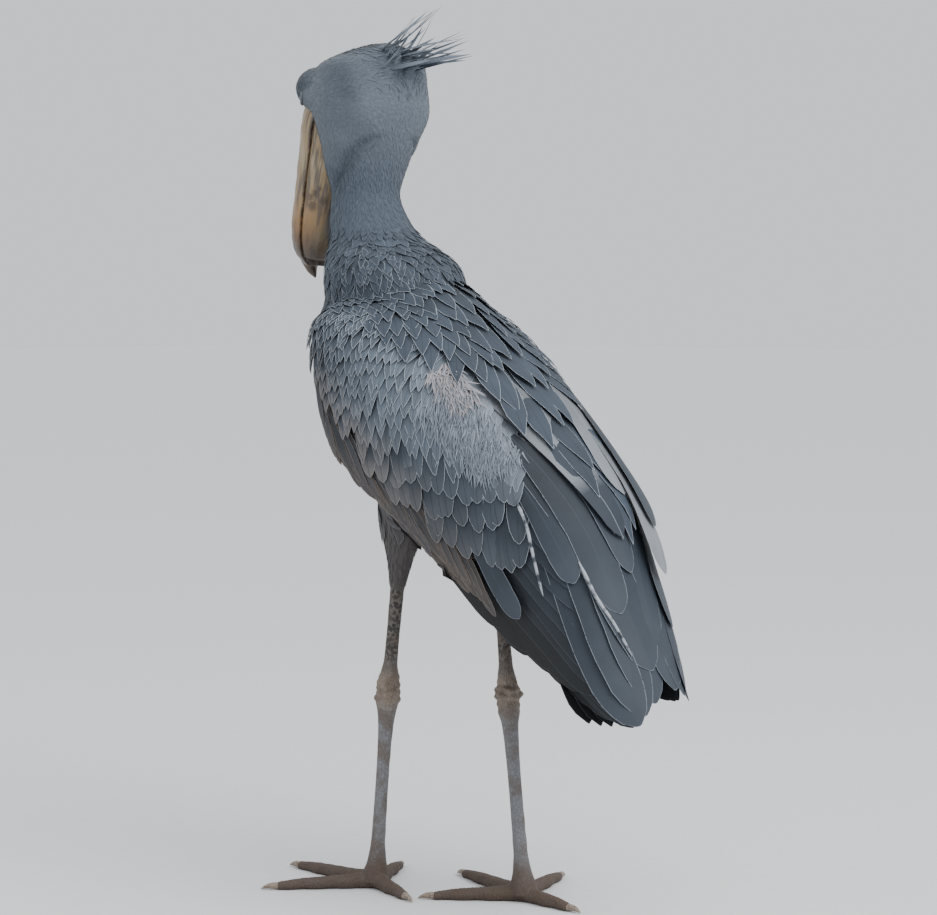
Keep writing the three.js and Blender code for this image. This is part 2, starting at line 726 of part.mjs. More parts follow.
const upperBill = joined([billUpper(0), hook(0)]).subtract(nostril(1)).subtract(nostril(-1));
const lowerBill = billLower(0).subtract(joined([billUpper(GAP), hook(GAP)])).subtract(neck(GAP));
const head = joined([headCore(0), ...crest(), ...forehead(), ...eyes.map((eye) => ball(eye.centre, EYE_RADIUS + LID))])
  .subtract(neck(GAP))
  .subtract(billUpper(GAP))
  .subtract(billLower(GAP))
  .subtract(together(eyes.flatMap((eye) => [ball(eye.centre, EYE_RADIUS + GAP), lidOpening(eye)])));
add("head", head, HEAD_CENTRE, SLATE);
add("bill_upper", upperBill, onBill(0, 0, 0), HORN);
add("bill_lower", lowerBill, onBill(0, 0, 0), HORN);
for (const eye of eyes) add(eye.name, ball(eye.centre, EYE_RADIUS), eye.centre, IRIS);
const wing = clearOfBack(joined([wingCore(1), ...wingFeathers(1)])).subtract(neck(GAP));
add("wing_left", wing, onBody(20, 110, 0), DARK_SLATE);
add("wing_right", wing.mirror([0, 1, 0]), onBody(20, -110, 0), DARK_SLATE);
add("tail", tail().subtract(torsoClear), onBody(480, 0, -45), DARK_SLATE);
for (const [name, leg] of Object.entries(LEGS)) {
  const { top, middle, bottom, bare } = legPoints(leg);
  add("thigh_" + name, thigh(leg).subtract(torsoClear), top, SLATE);
  add("shank_" + name, shank(leg).subtract(together([torsoClear, tarsus(leg, GAP)])), bare, LEG_SKIN);
  add("tarsus_" + name, tarsus(leg, 0), middle, LEG_SKIN);
  add("foot_" + name, foot(leg), bottom, LEG_SKIN);
  TOES.forEach((each, i) => add("claw_" + name + "_" + (i + 1), claw(leg, each), toe(leg, each).tip.p, CLAW_HORN));
}
const middleOf = new THREE.Box3().setFromObject(bird).getCenter(new THREE.Vector3());
const figure = new THREE.Group().add(bird);
bird.position.set(-middleOf.x, -middleOf.y, 0);

export default figure;
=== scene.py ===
# %% [markdown]
# # A shoebill, standing and looking away over its bill
# The frame comes first: the solids that were packed for this bird, in metres, with the floor at z = 0.
# Every feather, fold and claw below is placed by the same named sizes as those solids, so nothing is
# fitted by eye. All the making is done in millimetres in the bird's own frame, where +X is the way the
# body heads, +Y is its left and +Z is up, and one function at the end of each piece turns it to metres.

import math

import bmesh
import bpy
import numpy as np
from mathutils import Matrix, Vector
from mathutils.bvhtree import BVHTree


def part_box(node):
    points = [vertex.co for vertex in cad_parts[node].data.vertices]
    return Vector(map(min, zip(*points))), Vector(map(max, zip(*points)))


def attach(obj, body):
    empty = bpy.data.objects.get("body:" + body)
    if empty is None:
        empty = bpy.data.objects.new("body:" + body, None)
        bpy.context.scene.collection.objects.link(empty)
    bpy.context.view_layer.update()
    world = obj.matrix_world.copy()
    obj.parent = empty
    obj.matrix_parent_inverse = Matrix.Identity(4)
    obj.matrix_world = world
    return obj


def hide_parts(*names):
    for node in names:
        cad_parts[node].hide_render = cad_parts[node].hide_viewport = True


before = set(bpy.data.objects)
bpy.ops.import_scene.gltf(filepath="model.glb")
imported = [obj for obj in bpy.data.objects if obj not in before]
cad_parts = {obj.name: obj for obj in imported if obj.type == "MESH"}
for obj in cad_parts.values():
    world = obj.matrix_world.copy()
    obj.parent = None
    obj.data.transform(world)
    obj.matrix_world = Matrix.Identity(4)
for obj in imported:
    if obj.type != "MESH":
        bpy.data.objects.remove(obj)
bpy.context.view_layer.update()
print("nodes in the frame:", len(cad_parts))

# %% The bird's sizes, in millimetres
BODY_PITCH = math.radians(44)  # the back slopes this steeply down to the tail
SHOULDER = np.array([133.0, 0.0, 726.0])
HEAD_CENTRE = np.array([166.0, 0.0, 1003.0])
HEAD_TURN = math.radians(-9)
BILL_PITCH = math.radians(72)
BILL_BASE = (50.0, -14.0)  # forward and up from the head's centre
EYE_AT = (48.0, 56.0, 6.0)
EYE_RADIUS = 11.5
SIDES = {"left": 1, "right": -1}
RNG = np.random.default_rng(11)


def profile(rows):
    """A smooth curve through knots. Each row is [position, value, value, ...], and between two knots the
    value is Hermite's cubic: start, end and the slopes that the neighbouring knots give."""
    rows = np.array(rows, float)
    spots, values = rows[:, 0], rows[:, 1:]
    slopes = np.empty_like(values)
    slopes[1:-1] = (values[2:] - values[:-2]) / (spots[2:] - spots[:-2])[:, None]
    slopes[0] = (values[1] - values[0]) / (spots[1] - spots[0])
    slopes[-1] = (values[-1] - values[-2]) / (spots[-1] - spots[-2])

    def read(at):
        """The values at one position or at an array of them."""
        at = np.clip(np.asarray(at, float), spots[0], spots[-1])
        k = np.clip(np.searchsorted(spots, at, side="left"), 1, len(spots) - 1)
        wide = spots[k] - spots[k - 1]
        t = ((at - spots[k - 1]) / wide)[..., None]
        w = wide[..., None]
        return (
            values[k - 1] * (2 * t**3 - 3 * t**2 + 1)
            + slopes[k - 1] * w * (t**3 - 2 * t**2 + t)
            + values[k] * (3 * t**2 - 2 * t**3)
            + slopes[k] * w * (t**3 - t**2)
        )

    return read


def smooth_step(value, low, high):
    """0 below low, 1 above high, and 3t^2 - 2t^3 between them."""
    t = np.clip((value - low) / (high - low), 0, 1)
    return t * t * (3 - 2 * t)


def soft_spot(*offsets):
    """1 in the middle of a spot, falling off softly: exp(-(x^2 + y^2 ...)) for offsets over their reach."""
    return np.exp(-sum(offset**2 for offset in offsets))


def unit(vectors):
    """Each vector over its own length."""
    return vectors / np.maximum(np.linalg.norm(vectors, axis=-1, keepdims=True), 1e-9)


def stacked(*parts):
    """Points from their three coordinates, each a number or an array."""
    return np.stack(np.broadcast_arrays(*[np.asarray(p, float) for p in parts]), axis=-1)


def on_body(back, left, up):
    """A point in the body's axes: the spine runs back and down at the body's pitch from the shoulder."""
    c, s = math.cos(BODY_PITCH), math.sin(BODY_PITCH)
    back, left, up = (np.asarray(v, float) for v in (back, left, up))
    return stacked(SHOULDER[0] - back * c - up * s, left, SHOULDER[2] - back * s + up * c)


def on_head(forward, left, up):
    """A point in the head's axes: the face is turned about the vertical through the head's centre."""
    c, s = math.cos(HEAD_TURN), math.sin(HEAD_TURN)
    forward, left, up = (np.asarray(v, float) for v in (forward, left, up))
    return stacked(HEAD_CENTRE[0] + forward * c - left * s, HEAD_CENTRE[1] + forward * s + left * c,
                   HEAD_CENTRE[2] + up)


def on_bill(along, left, out):
    """A point in the bill's axes: along its length, to the left, and out towards the culmen."""
    c, s = math.cos(BILL_PITCH), math.sin(BILL_PITCH)
    along, out = np.asarray(along, float), np.asarray(out, float)
    return on_head(BILL_BASE[0] + along * c + out * s, left, BILL_BASE[1] - along * s + out * c)


low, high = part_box("eye_left")
MOVE = np.array((low + high) / 2) * 1000 - on_head(*EYE_AT)
MOVE[2] = 0
print("the bird's frame is moved by", np.round(MOVE, 2), "mm in the packed frame")

# %% [markdown]
# ## The camera
# The bird is seen from behind its left side, from about three metres away and a little above its back.
# The lens and the place repeat that view, and the camera is tipped down rather than shifted, because a
# shift would stay on in every other view.

# %% Camera
VIEW_TURN = math.radians(43)  # the bird heads this far away from straight into the picture
DISTANCE = 3200.0
EYE_LEVEL = 750.0
FOCAL_PX = 2560.0
IMAGE = (937, 915)
HORIZON_ROW = 300.0
ASIDE = 10.0  # the camera stands this far to the right of the shoulders
SENSOR = 36.0  # millimetres


def new_object(name, data):
    """An object of the scene that shows the data."""
    made = bpy.data.objects.new(name, data)
    bpy.context.scene.collection.objects.link(made)
    return made


def facing(way):
    """The turn of a camera or a lamp that looks this way."""
    return Vector(way).to_track_quat("-Z", "Y").to_euler()


right = np.array([-math.cos(VIEW_TURN), -math.sin(VIEW_TURN), 0.0])
ahead = np.array([math.sin(VIEW_TURN), -math.cos(VIEW_TURN), 0.0])
spot = -DISTANCE * ahead + ASIDE * right + [0, 0, EYE_LEVEL] + MOVE
tip_down = math.atan((IMAGE[1] / 2 - HORIZON_ROW) / FOCAL_PX)
looking = ahead * math.cos(tip_down) - np.array([0, 0, math.sin(tip_down)])
camera = new_object("camera", bpy.data.cameras.new("camera"))
camera.data.sensor_width = SENSOR
camera.data.lens = FOCAL_PX / IMAGE[0] * SENSOR
camera.location = spot / 1000
camera.rotation_euler = facing(looking)
bpy.context.scene.camera = camera
print("camera at", np.round(spot / 1000, 3), "tipped down", round(math.degrees(tip_down), 2), "degrees")

# %% [markdown]
# ## Soft studio light and a plain floor
# Slate feathers show their pale rims best in broad, even light with one side a little stronger. A large
# lamp on the right does that, a second fills the left, and the pale sky lifts the shadows.

# %% Light
KEY_WATTS, FILL_WATTS = 105, 20
SUN_STRENGTH, SKY_STRENGTH = 2.3, 1.15
SUN_SPREAD = math.radians(70)  # so wide that it lights like a window


def linear(code):
    """One sRGB hex colour as a linear colour: c / 12.92 up to 0.04045, else ((c + 0.055) / 1.055)^2.4."""
    channels = np.array([int(code[i : i + 2], 16) for i in (1, 3, 5)]) / 255
    return np.where(channels <= 0.04045, channels / 12.92, ((channels + 0.055) / 1.055) ** 2.4)


def lamp(name, place, size, power, aim=(0, 0, 0.6)):
    """A square area light of one size in metres, turned to look at a point."""
    made = new_object(name, bpy.data.lights.new(name, "AREA"))
    made.data.size = size
    made.data.energy = power
    made.location = place
    made.rotation_euler = facing(Vector(aim) - Vector(place))


def from_camera(rightward, forward, height):
    """A place in metres given from the bird, along the camera's right and forward directions."""
    return tuple(rightward * right + forward * ahead + [0, 0, height])


lamp("key", from_camera(2.2, -2.0, 2.8), 2.0, KEY_WATTS)
lamp("fill", from_camera(-2.6, -1.2, 1.6), 2.4, FILL_WATTS)
sky = new_object("sky_window", bpy.data.lights.new("sky_window", "SUN"))
sky.data.energy = SUN_STRENGTH
sky.data.angle = SUN_SPREAD
sky.rotation_euler = facing(-Vector(from_camera(0.8, -0.9, 2.4)))
world = bpy.data.worlds.new("studio")
world.use_nodes = True
background = world.node_tree.nodes["Background"]
background.inputs[0].default_value = (*linear("#e4e6ea"), 1)
background.inputs[1].default_value = SKY_STRENGTH
bpy.context.scene.world = world
print("lights:", ", ".join(light.name for light in bpy.data.lights))


def put_mesh(name, points, faces, material=None, move=MOVE):
    """A mesh object from points in millimetres and an array of faces that all have the same corners.
    Each point becomes (point + move) / 1000, so that the piece lies in the frame in metres."""
    points = (np.asarray(points, float).reshape(-1, 3) + move) / 1000
    faces = np.asarray(faces, np.int32)
    mesh = bpy.data.meshes.new(name)
    mesh.vertices.add(len(points))
    mesh.vertices.foreach_set("co", points.astype(np.float32).ravel())
    mesh.loops.add(faces.size)
    mesh.loops.foreach_set("vertex_index", faces.ravel())
    mesh.polygons.add(len(faces))
    mesh.polygons.foreach_set("loop_start", np.arange(0, faces.size, faces.shape[1], dtype=np.int32))
    mesh.update(calc_edges=True)
    mesh.validate()
    mesh.polygons.foreach_set("use_smooth", np.ones(len(mesh.polygons), bool))
    piece = new_object(name, mesh)
    if material:
        mesh.materials.append(material)
    return piece

# %% [markdown]
# ## Materials made of nodes
# A material is a small graph. Places and stored values come in, noise and sums change them, and the last
# colour goes into one shader. Each helper below adds one kind of node, so that a finish reads as a recipe.

# %% Nodes of a material


def add(tree, kind, settings=(), links=()):
    """One node: its settings are properties or, for a number or socket name, input values, and its links
    join an output of another node to one of its inputs."""
    made = tree.nodes.new(kind)
    for key, value in dict(settings).items():
        if isinstance(key, str) and hasattr(made, key):
            setattr(made, key, value)
        else:
            made.inputs[key].default_value = value
    for key, source in dict(links).items():
        tree.links.new(source, made.inputs[key])
    return made


def finish_of(name, roughness, **sockets):
    """A material with its Principled shader, whose sockets that are the same all over are set here."""
    made = bpy.data.materials.new(name)
    made.use_nodes = True
    shader = made.node_tree.nodes["Principled BSDF"]
    shader.inputs["Roughness"].default_value = roughness
    for key, value in sockets.items():
        shader.inputs[key.replace("_", " ")].default_value = value
    return made, made.node_tree, shader


def math_node(tree, operation, *operands):
    """One Math node; each operand is a number or an output."""
    made = add(tree, "ShaderNodeMath", {"operation": operation})
    for slot, value in enumerate(operands):
        if isinstance(value, (int, float)):
            made.inputs[slot].default_value = value
        else:
            tree.links.new(value, made.inputs[slot])
    return made.outputs[0]


def mixed(tree, share, first, second, kind="MIX"):
    """A colour between two, or one laid over another, by a share."""
    made = add(tree, "ShaderNodeMix", {"data_type": "RGBA", "blend_type": kind})
    for slot, value in ((0, share), (6, first), (7, second)):
        if isinstance(value, bpy.types.NodeSocket):
            tree.links.new(value, made.inputs[slot])
        else:
            made.inputs[slot].default_value = value if isinstance(value, (int, float)) else (*value, 1)
    return made.outputs[2]


def fade(tree, value, low, high):
    """0 below low and 1 above high, smooth between, for one value."""
    settings = {"interpolation_type": "SMOOTHSTEP", "From Min": low, "From Max": high}
    return add(tree, "ShaderNodeMapRange", settings, {"Value": value}).outputs["Result"]


def times(tree, first, second):
    """first * second."""
    return math_node(tree, "MULTIPLY", first, second)


def rest_of(tree, share):
    """1 - share."""
    return math_node(tree, "SUBTRACT", 1.0, share)


def object_place(tree):
    """Each point's own place on its object, in metres."""
    return add(tree, "ShaderNodeTexCoord").outputs["Object"]


def noise(tree, where, scale, detail, **more):
    """Cloudy noise between 0 and 1, read at a place."""
    settings = {"Scale": scale, "Detail": detail, **more}
    return add(tree, "ShaderNodeTexNoise", settings, {"Vector": where}).outputs["Fac"]


def stored(tree, key, kind="Vector"):
    """What the piece's points carry under a name: a vector or a colour."""
    return add(tree, "ShaderNodeAttribute", {"attribute_name": key}).outputs[kind]


def split(tree, vector):
    """The three numbers of a vector."""
    return add(tree, "ShaderNodeSeparateXYZ", links={"Vector": vector}).outputs


def stretched(tree, where, sizes):
    """A place multiplied by one number along each axis."""
    return add(tree, "ShaderNodeVectorMath", {"operation": "MULTIPLY", 1: sizes}, {0: where}).outputs[0]


def painted(tree, shader, colour):
    """The shader's base colour comes from an output."""
    tree.links.new(colour, shader.inputs["Base Color"])


def bumped(tree, shader, height, strength, distance):
    """Relief from a height between 0 and 1, at most the distance deep, in metres."""
    bump = add(tree, "ShaderNodeBump", {"Strength": strength, "Distance": distance}, {"Height": height})
    tree.links.new(bump.outputs["Normal"], shader.inputs["Normal"])

# %% Floor
FLOOR_REACH = 30000.0
floor_paint, tree, shader = finish_of("matt floor paint", 0.9)
speck = noise(tree, object_place(tree), 60.0, 3.0)
tone = add(tree, "ShaderNodeValToRGB", links={"Fac": speck})
tone.color_ramp.elements[0].color = (*linear("#c4c5c6"), 1)
tone.color_ramp.elements[1].color = (*linear("#cdcecf"), 1)
painted(tree, shader, tone.outputs["Color"])
corners = np.array([[-1, -1, 0], [1, -1, 0], [1, 1, 0], [-1, 1, 0]]) * FLOOR_REACH
floor = put_mesh("floor", corners, [[0, 1, 2, 3]], floor_paint, move=np.zeros(3))
floor.location.z = -0.0002  # a hair under the claws, so that the two never flicker
print("floor", FLOOR_REACH / 500, "m across")

# %% [markdown]
# ## The skin
# Under its plumage the bird is a few rounded forms: body, neck, head, the two folded wings, the rump and
# the feathered thighs. Each is a tube of oval rings along a line. They could stay separate, but then every
# joint would show as a seam, so their shells are melted into one by a voxel remesh and smoothed.

# %% Tubes of oval rings
torso_at = profile([
    [-78, -16, 6, 12], [-58, -60, 40, 50], [-20, -96, 80, 86], [50, -122, 110, 106], [130, -136, 116, 113],
    [220, -138, 112, 112], [310, -126, 94, 100], [390, -102, 70, 80], [450, -78, 46, 56], [490, -54, 24, 32],
])
neck_at = profile([
    [735, 110, 92, 90], [775, 115, 92, 92], [800, 124, 84, 84], [826, 146, 65, 63], [850, 160, 56, 54],
    [885, 168, 48, 46], [920, 167, 51, 52], [965, 160, 54, 56],
])
head_at = profile([
    [-124, 1, 42, 42], [-92, 1, 51.5, 51.5], [-60, -5, 62, 61], [-35, -8, 72, 68], [-10, -9, 80, 75],
    [20, -8, 80, 73],
    [45, -10, 76, 68], [62, -20, 62, 54], [74, -28, 44, 38], [82, -36, 20, 16],
])
wing_at = profile([
    [-10, 98, 26, -20], [0, 120, 42, -28], [20, 136, 60, -38], [60, 141, 86, -60], [100, 141, 100, -80],
    [140, 139, 108, -96], [200, 134, 113, -103], [270, 118, 114, -101], [350, 100, 110, -97],
    [430, 88, 96, -90], [510, 75, 60, -70], [585, 66, 24, -58], [640, 55, -4, -38], [664, 49, -16, -24],
])
UPPER_TURN = 1.35  # radians that the wing's upper half turns over the back
SPINE = 1.16  # the q of the spine
LOWER_EDGE = -math.sin(UPPER_TURN) / UPPER_TURN
LEGS = {
    "left": {"side": 1, "hip": (48, 50, 500), "ankle": (82, 47, 256), "foot": (104, 47, 20), "heading": -3},
    "right": {"side": -1, "hip": (-26, -34, 500), "ankle": (-62, -20, 258), "foot": (-82, -27, 20),
              "heading": -18},
}
BARE_FROM = 0.54  # the share of the way from ankle to hip where the feathers end


def tube_faces(rings, sides, cap=True):
    """Faces of a closed tube whose points are rings of the same number of sides, then its two end middles."""
    i, j = np.meshgrid(np.arange(rings - 1), np.arange(sides), indexing="ij")
    k = (j + 1) % sides
    here, there = i * sides, (i + 1) * sides
    body = np.stack([here + j, here + k, there + k, there + j], -1).reshape(-1, 4)
    if not cap:
        return body
    j = np.arange(sides)
    k = (j + 1) % sides
    first, last, final = rings * sides, rings * sides + 1, (rings - 1) * sides
    start = np.stack([np.full(sides, first), k, j, j], -1)
    end = np.stack([np.full(sides, last), final + j, final + k, final + k], -1)
    return body, start[:, :3], end[:, :3]


def tube(rings):
    """Points and triangles of a closed tube through rings[count, sides, 3], with a middle point at each
    end."""
    count, sides, _ = rings.shape
    points = np.vstack([rings.reshape(-1, 3), rings[0].mean(0), rings[-1].mean(0)])
    body, start, end = tube_faces(count, sides)
    return points, np.vstack([body[:, [0, 1, 2]], body[:, [0, 2, 3]], start, end])


def frames_along(line, side):
    """Directions across and upward at each point of a line, square to the line and to each other."""
    onward = unit(np.gradient(line, axis=0))
    across = unit(side - onward * (onward @ side)[:, None])
    return across, np.cross(onward, across)


def ovals(centres, across, upward, wide, deep, sides=40):
    """Rings centre + across * wide * cos(angle) + upward * deep * sin(angle), one for each centre."""
    angle = np.linspace(0, 2 * math.pi, sides, endpoint=False)
    a = across[..., None, :] * (np.asarray(wide)[:, None] * np.cos(angle))[..., None]
    b = upward[..., None, :] * (np.asarray(deep)[:, None] * np.sin(angle))[..., None]
    return np.asarray(centres)[:, None, :] + a + b


def ball(centre, long, wide, high):
    """An egg in the head's axes: the point (cos v cos u, cos v sin u, sin v), scaled by its three half
    sizes."""
    v = np.linspace(-0.495 * math.pi, 0.495 * math.pi, 24)[:, None]
    u = np.linspace(0, 2 * math.pi, 32, endpoint=False)[None]
    return on_head(centre[0] + long * np.cos(v) * np.cos(u), centre[1] + wide * np.cos(v) * np.sin(u),
                   centre[2] + high * np.sin(v) + 0 * u)


def hull(side, back, q):
    """The outside of the folded wing and the back. q is 1 at the wing's upper edge, 0 at its widest line and
    LOWER_EDGE at its lower edge, and SPINE at the spine. Above the widest line the section is the oval half
    * cos(angle)^0.8 by reach * sin(angle), below it runs straight down, and no point is inside the torso."""
    back, q = np.broadcast_arrays(np.asarray(back, float), np.asarray(q, float))
    half, top, bottom = np.moveaxis(wing_at(back), -1, 0)
    angle = q * UPPER_TURN
    middle, reach = (top + bottom) / 2, (top - bottom) / 2
    cosine = np.cos(angle)
    out = np.where(q > 0, half * np.sign(cosine) * np.abs(cosine) ** 0.8,
                   half * (1 - 0.2 * np.minimum(q * q, 0.53)))
    up = middle + reach * np.where(q > 0, np.sin(angle), angle) / math.sin(UPPER_TURN)
    low_line, crown, wide = np.moveaxis(torso_at(back), -1, 0)
    centre, tall = (low_line + crown) / 2, (crown - low_line) / 2
    inside = np.hypot(out / wide, (up - centre) / tall)
    grow = np.where((inside < 1) & (back < 470) & (q > 0), np.maximum(inside, 0.2), 1.0)
    return on_body(back, side * out / grow, centre + (up - centre) / grow)


def hull_out(side, back, q):
    """The outward direction on the hull: the cross product of its steps along the back and round it."""
    along = hull(side, back + 2.0, q) - hull(side, back - 2.0, q)
    over = hull(side, back, q + 0.02) - hull(side, back, q - 0.02)
    return unit(np.cross(along, over) * side)


def turn_at(back, up):
    """The q at which the wing's surface is this high above the spine line."""
    _, top, bottom = np.moveaxis(wing_at(back), -1, 0)
    rise = (up - (top + bottom) / 2) / ((top - bottom) / 2) * math.sin(UPPER_TURN)
    return np.where(rise > 0, np.arcsin(np.clip(rise, 0, 0.999)), rise) / UPPER_TURN

# %% The forms of flesh
SINK = 3.0  # the skin lies this far inside the feathered outline
HEAD_SINK = 1.5  # the same for the head, whose feathers are short
back = np.linspace(-78, 490, 60)
bottom, crown, half = torso_at(back).T
angle = np.linspace(0, 2 * math.pi, 56, endpoint=False)
torso_rings = on_body(back[:, None], (half - SINK)[:, None] * np.cos(angle),
                      ((bottom + crown) / 2)[:, None] + ((crown - bottom) / 2 - SINK)[:, None]
                      * np.sin(angle))
height = np.linspace(735, 965, 40)
forward, deep, wide = neck_at(height).T
X, Y, Z = np.eye(3)
neck_rings = ovals(stacked(forward, 0, height), np.tile(X, (40, 1)), np.tile(Y, (40, 1)), deep - SINK,
                   wide - SINK)
up = np.linspace(-124, 82, 46)
forward, deep, wide = head_at(up).T
angle = np.linspace(0, 2 * math.pi, 48, endpoint=False)
head_rings = on_head(forward[:, None] + (deep - HEAD_SINK)[:, None] * np.cos(angle),
                     (wide - HEAD_SINK)[:, None] * np.sin(angle), up[:, None])
forms = [tube(torso_rings), tube(neck_rings), tube(head_rings)]
for side in SIDES.values():
    forms.append(tube(ball((56, side * 30, 20), 33, 35, 29)))
    forms.append(tube(ball((EYE_AT[0] - 2, side * (EYE_AT[1] - 2), EYE_AT[2]), 15, 13.5, 15)))
    spots = np.array([-8, 2, 26, 70, 130, 200, 265, 310, 344, 368.0])
    turns = np.linspace(LOWER_EDGE + 0.04, 0.98, 24)
    skin_out = hull(side, spots[:, None], turns) - SINK * hull_out(side, spots[:, None], turns)
    thick = profile([[-10, 14], [40, 30], [280, 30], [330, 12], [372, 4]])(spots)[:, 0]
    skin_in = skin_out - thick[:, None, None] * hull_out(side, spots[:, None], turns)
    forms.append(tube(np.concatenate([skin_out, skin_in[:, ::-1]], axis=1)))
rump = np.array([[440, -34, 29, 22], [475, -44, 36, 17], [505, -51, 34, 9], [530, -56, 30, 5]], float)
forms.append(tube(ovals(on_body(rump[:, 0], 0, rump[:, 1]), np.tile(Y, (4, 1)),
                        np.tile(on_body(0, 0, 1) - on_body(0, 0, 0), (4, 1)), rump[:, 2], rump[:, 3])))
THIGH = profile([[0, 29, 42], [0.3, 25, 32], [0.62, 16, 19.5], [0.86, 11.5, 12.8], [1.04, 8.6, 9]])


def leg_places(leg):
    """The hip, the place where the feathers end, the ankle and the foot of a leg."""
    hip, ankle, foot = (np.array(leg[key], float) for key in ("hip", "ankle", "foot"))
    return hip, ankle + (hip - ankle) * BARE_FROM, ankle, foot


def by_thigh(points, leg, end=1.0):
    """For each point the share of the way along a thigh, and how far it is from the thigh's line."""
    hip, bare, _, _ = leg_places(leg)
    way = bare - hip
    along = (points - hip) @ way / (way @ way)
    return along, np.linalg.norm(points - (hip + np.clip(along, 0, end)[..., None] * way), axis=-1)


for leg in LEGS.values():
    hip, bare, _, _ = leg_places(leg)
    share = np.linspace(0, 1.04, 24)
    line = hip + (bare - hip) * share[:, None]
    across, upward = frames_along(line, Y)
    forms.append(tube(ovals(line, across, upward, *THIGH(share).T)))
print("forms of flesh:", len(forms))

# %% [markdown]
# ## Melting the forms into one skin
# A voxel remesh counts what is inside any of the shells and wraps it in one even mesh. A few rounds of
# smoothing turn the creases where forms cross into the soft valleys that a living bird has there. The
# hollows of the temple and the fold under the cheek are then pushed in, each as a soft dent.

# %% One skin
VOXEL = 0.0036
SMOOTHING = 9
FOLD_DEPTH = 4.5  # of the crease under the jowl
CROWN_DROP = 11  # the crown is flattened by this much
SOCKET = 1.6  # the skin behind an eyeball's front lies this far inside it
SOCKET_REACH = 30
# Dents and swellings of the head: centre as forward, left, up, its reach, and how far it goes in (-) or out.
FACE_FORMS = [
    ((-43, 68, 2), 15, -3.5),
    ((-36, 67, 26), 14, -2.5),
    ((-62, 50, -26), 19, 2.5),
    ((-18, 72, 8), 17, 2.0),
    ((-18, 60, -56), 17, 4.0),
    ((8, 56, -78), 15, 4.0),
    ((31, 64, 4), 13, 5.0),
    ((50, 50, 26), 14, 3.0),
]


def joined(shells):
    """The points and triangles of several tubes as one array of each."""
    points, triangles, start = [], [], 0
    for shell_points, shell_triangles in shells:
        points.append(shell_points)
        triangles.append(shell_triangles + start)
        start += len(shell_points)
    return np.vstack(points), np.vstack(triangles)


def face_outwards(piece):
    """Turns the faces of a piece's closed shells so that they look outwards."""
    shell = bmesh.new()
    shell.from_mesh(piece.data)
    bmesh.ops.recalc_face_normals(shell, faces=shell.faces)
    shell.to_mesh(piece.data)
    shell.free()


def evaluated(piece):
    """The piece's mesh with its modifiers applied, as a new mesh in place of the old one."""
    seen = piece.evaluated_get(bpy.context.evaluated_depsgraph_get())
    mesh = bpy.data.meshes.new_from_object(seen)
    piece.modifiers.clear()
    piece.data = mesh
    return piece


def of_points(mesh, field):
    """Three numbers of each of a mesh's points, such as its place, as an array."""
    values = np.empty(len(mesh.vertices) * 3, np.float32)
    mesh.vertices.foreach_get(field, values)
    return values.reshape(-1, 3).astype(float)


def melted(name, shells, voxel, rounds):
    """Several closed shells as one mesh: wrapped by a voxel remesh and smoothed for some rounds."""
    piece = put_mesh(name, *joined(shells))
    face_outwards(piece)
    melt = piece.modifiers.new("melt", "REMESH")
    melt.mode = "VOXEL"
    melt.voxel_size = voxel
    soften = piece.modifiers.new("soften", "SMOOTH")
    soften.factor = 0.5
    soften.iterations = rounds
    evaluated(piece)
    piece.data.polygons.foreach_set("use_smooth", np.ones(len(piece.data.polygons), bool))
    return piece


def places(piece):
    """A piece's points in millimetres in the bird's frame, and the directions in which its surface faces."""
    return of_points(piece.data, "co") * 1000 - MOVE, of_points(piece.data, "normal")


def put_places(piece, points):
    """Moves a piece's points to new places, in millimetres in the bird's frame."""
    piece.data.vertices.foreach_set("co", ((points + MOVE) / 1000).astype(np.float32).ravel())
    piece.data.update()


def note(piece, key, values):
    """Stores three numbers, or a colour, for each point of a piece, for its material to read."""
    kind = "FLOAT_COLOR" if values.shape[-1] == 4 else "FLOAT_VECTOR"
    layer = piece.data.attributes.new(key, kind, "POINT")
    layer.data.foreach_set("color" if kind == "FLOAT_COLOR" else "vector", values.astype(np.float32).ravel())


def opaque(colours):
    """Colours with the fourth number that a colour layer wants."""
    return np.concatenate([colours, np.ones((len(colours), 1))], 1)


def to_head(points):
    """Points of the bird's frame in the head's axes, the other way round from on_head."""
    c, s = math.cos(HEAD_TURN), math.sin(HEAD_TURN)
    p = points - HEAD_CENTRE
    return stacked(p[..., 0] * c + p[..., 1] * s, -p[..., 0] * s + p[..., 1] * c, p[..., 2])


def to_body(points):
    """Points of the bird's frame as back, left and up in the body's axes."""
    c, s = math.cos(BODY_PITCH), math.sin(BODY_PITCH)
    p = points - SHOULDER
    return stacked(-p[..., 0] * c - p[..., 2] * s, p[..., 1], -p[..., 0] * s + p[..., 2] * c)


def throat_fold(p):
    """The crease under the jowl, 1 in its middle: a line down and forward, given as forward against up."""
    on_line = np.interp(p[..., 2], [-118, -104, -80, -62, -48], [18, 1, -21, -39, -62])
    ends = smooth_step(p[..., 2], -124, -104) * (1 - smooth_step(p[..., 2], -54, -42))
    return soft_spot((p[..., 0] - on_line) / 7.5) * ends


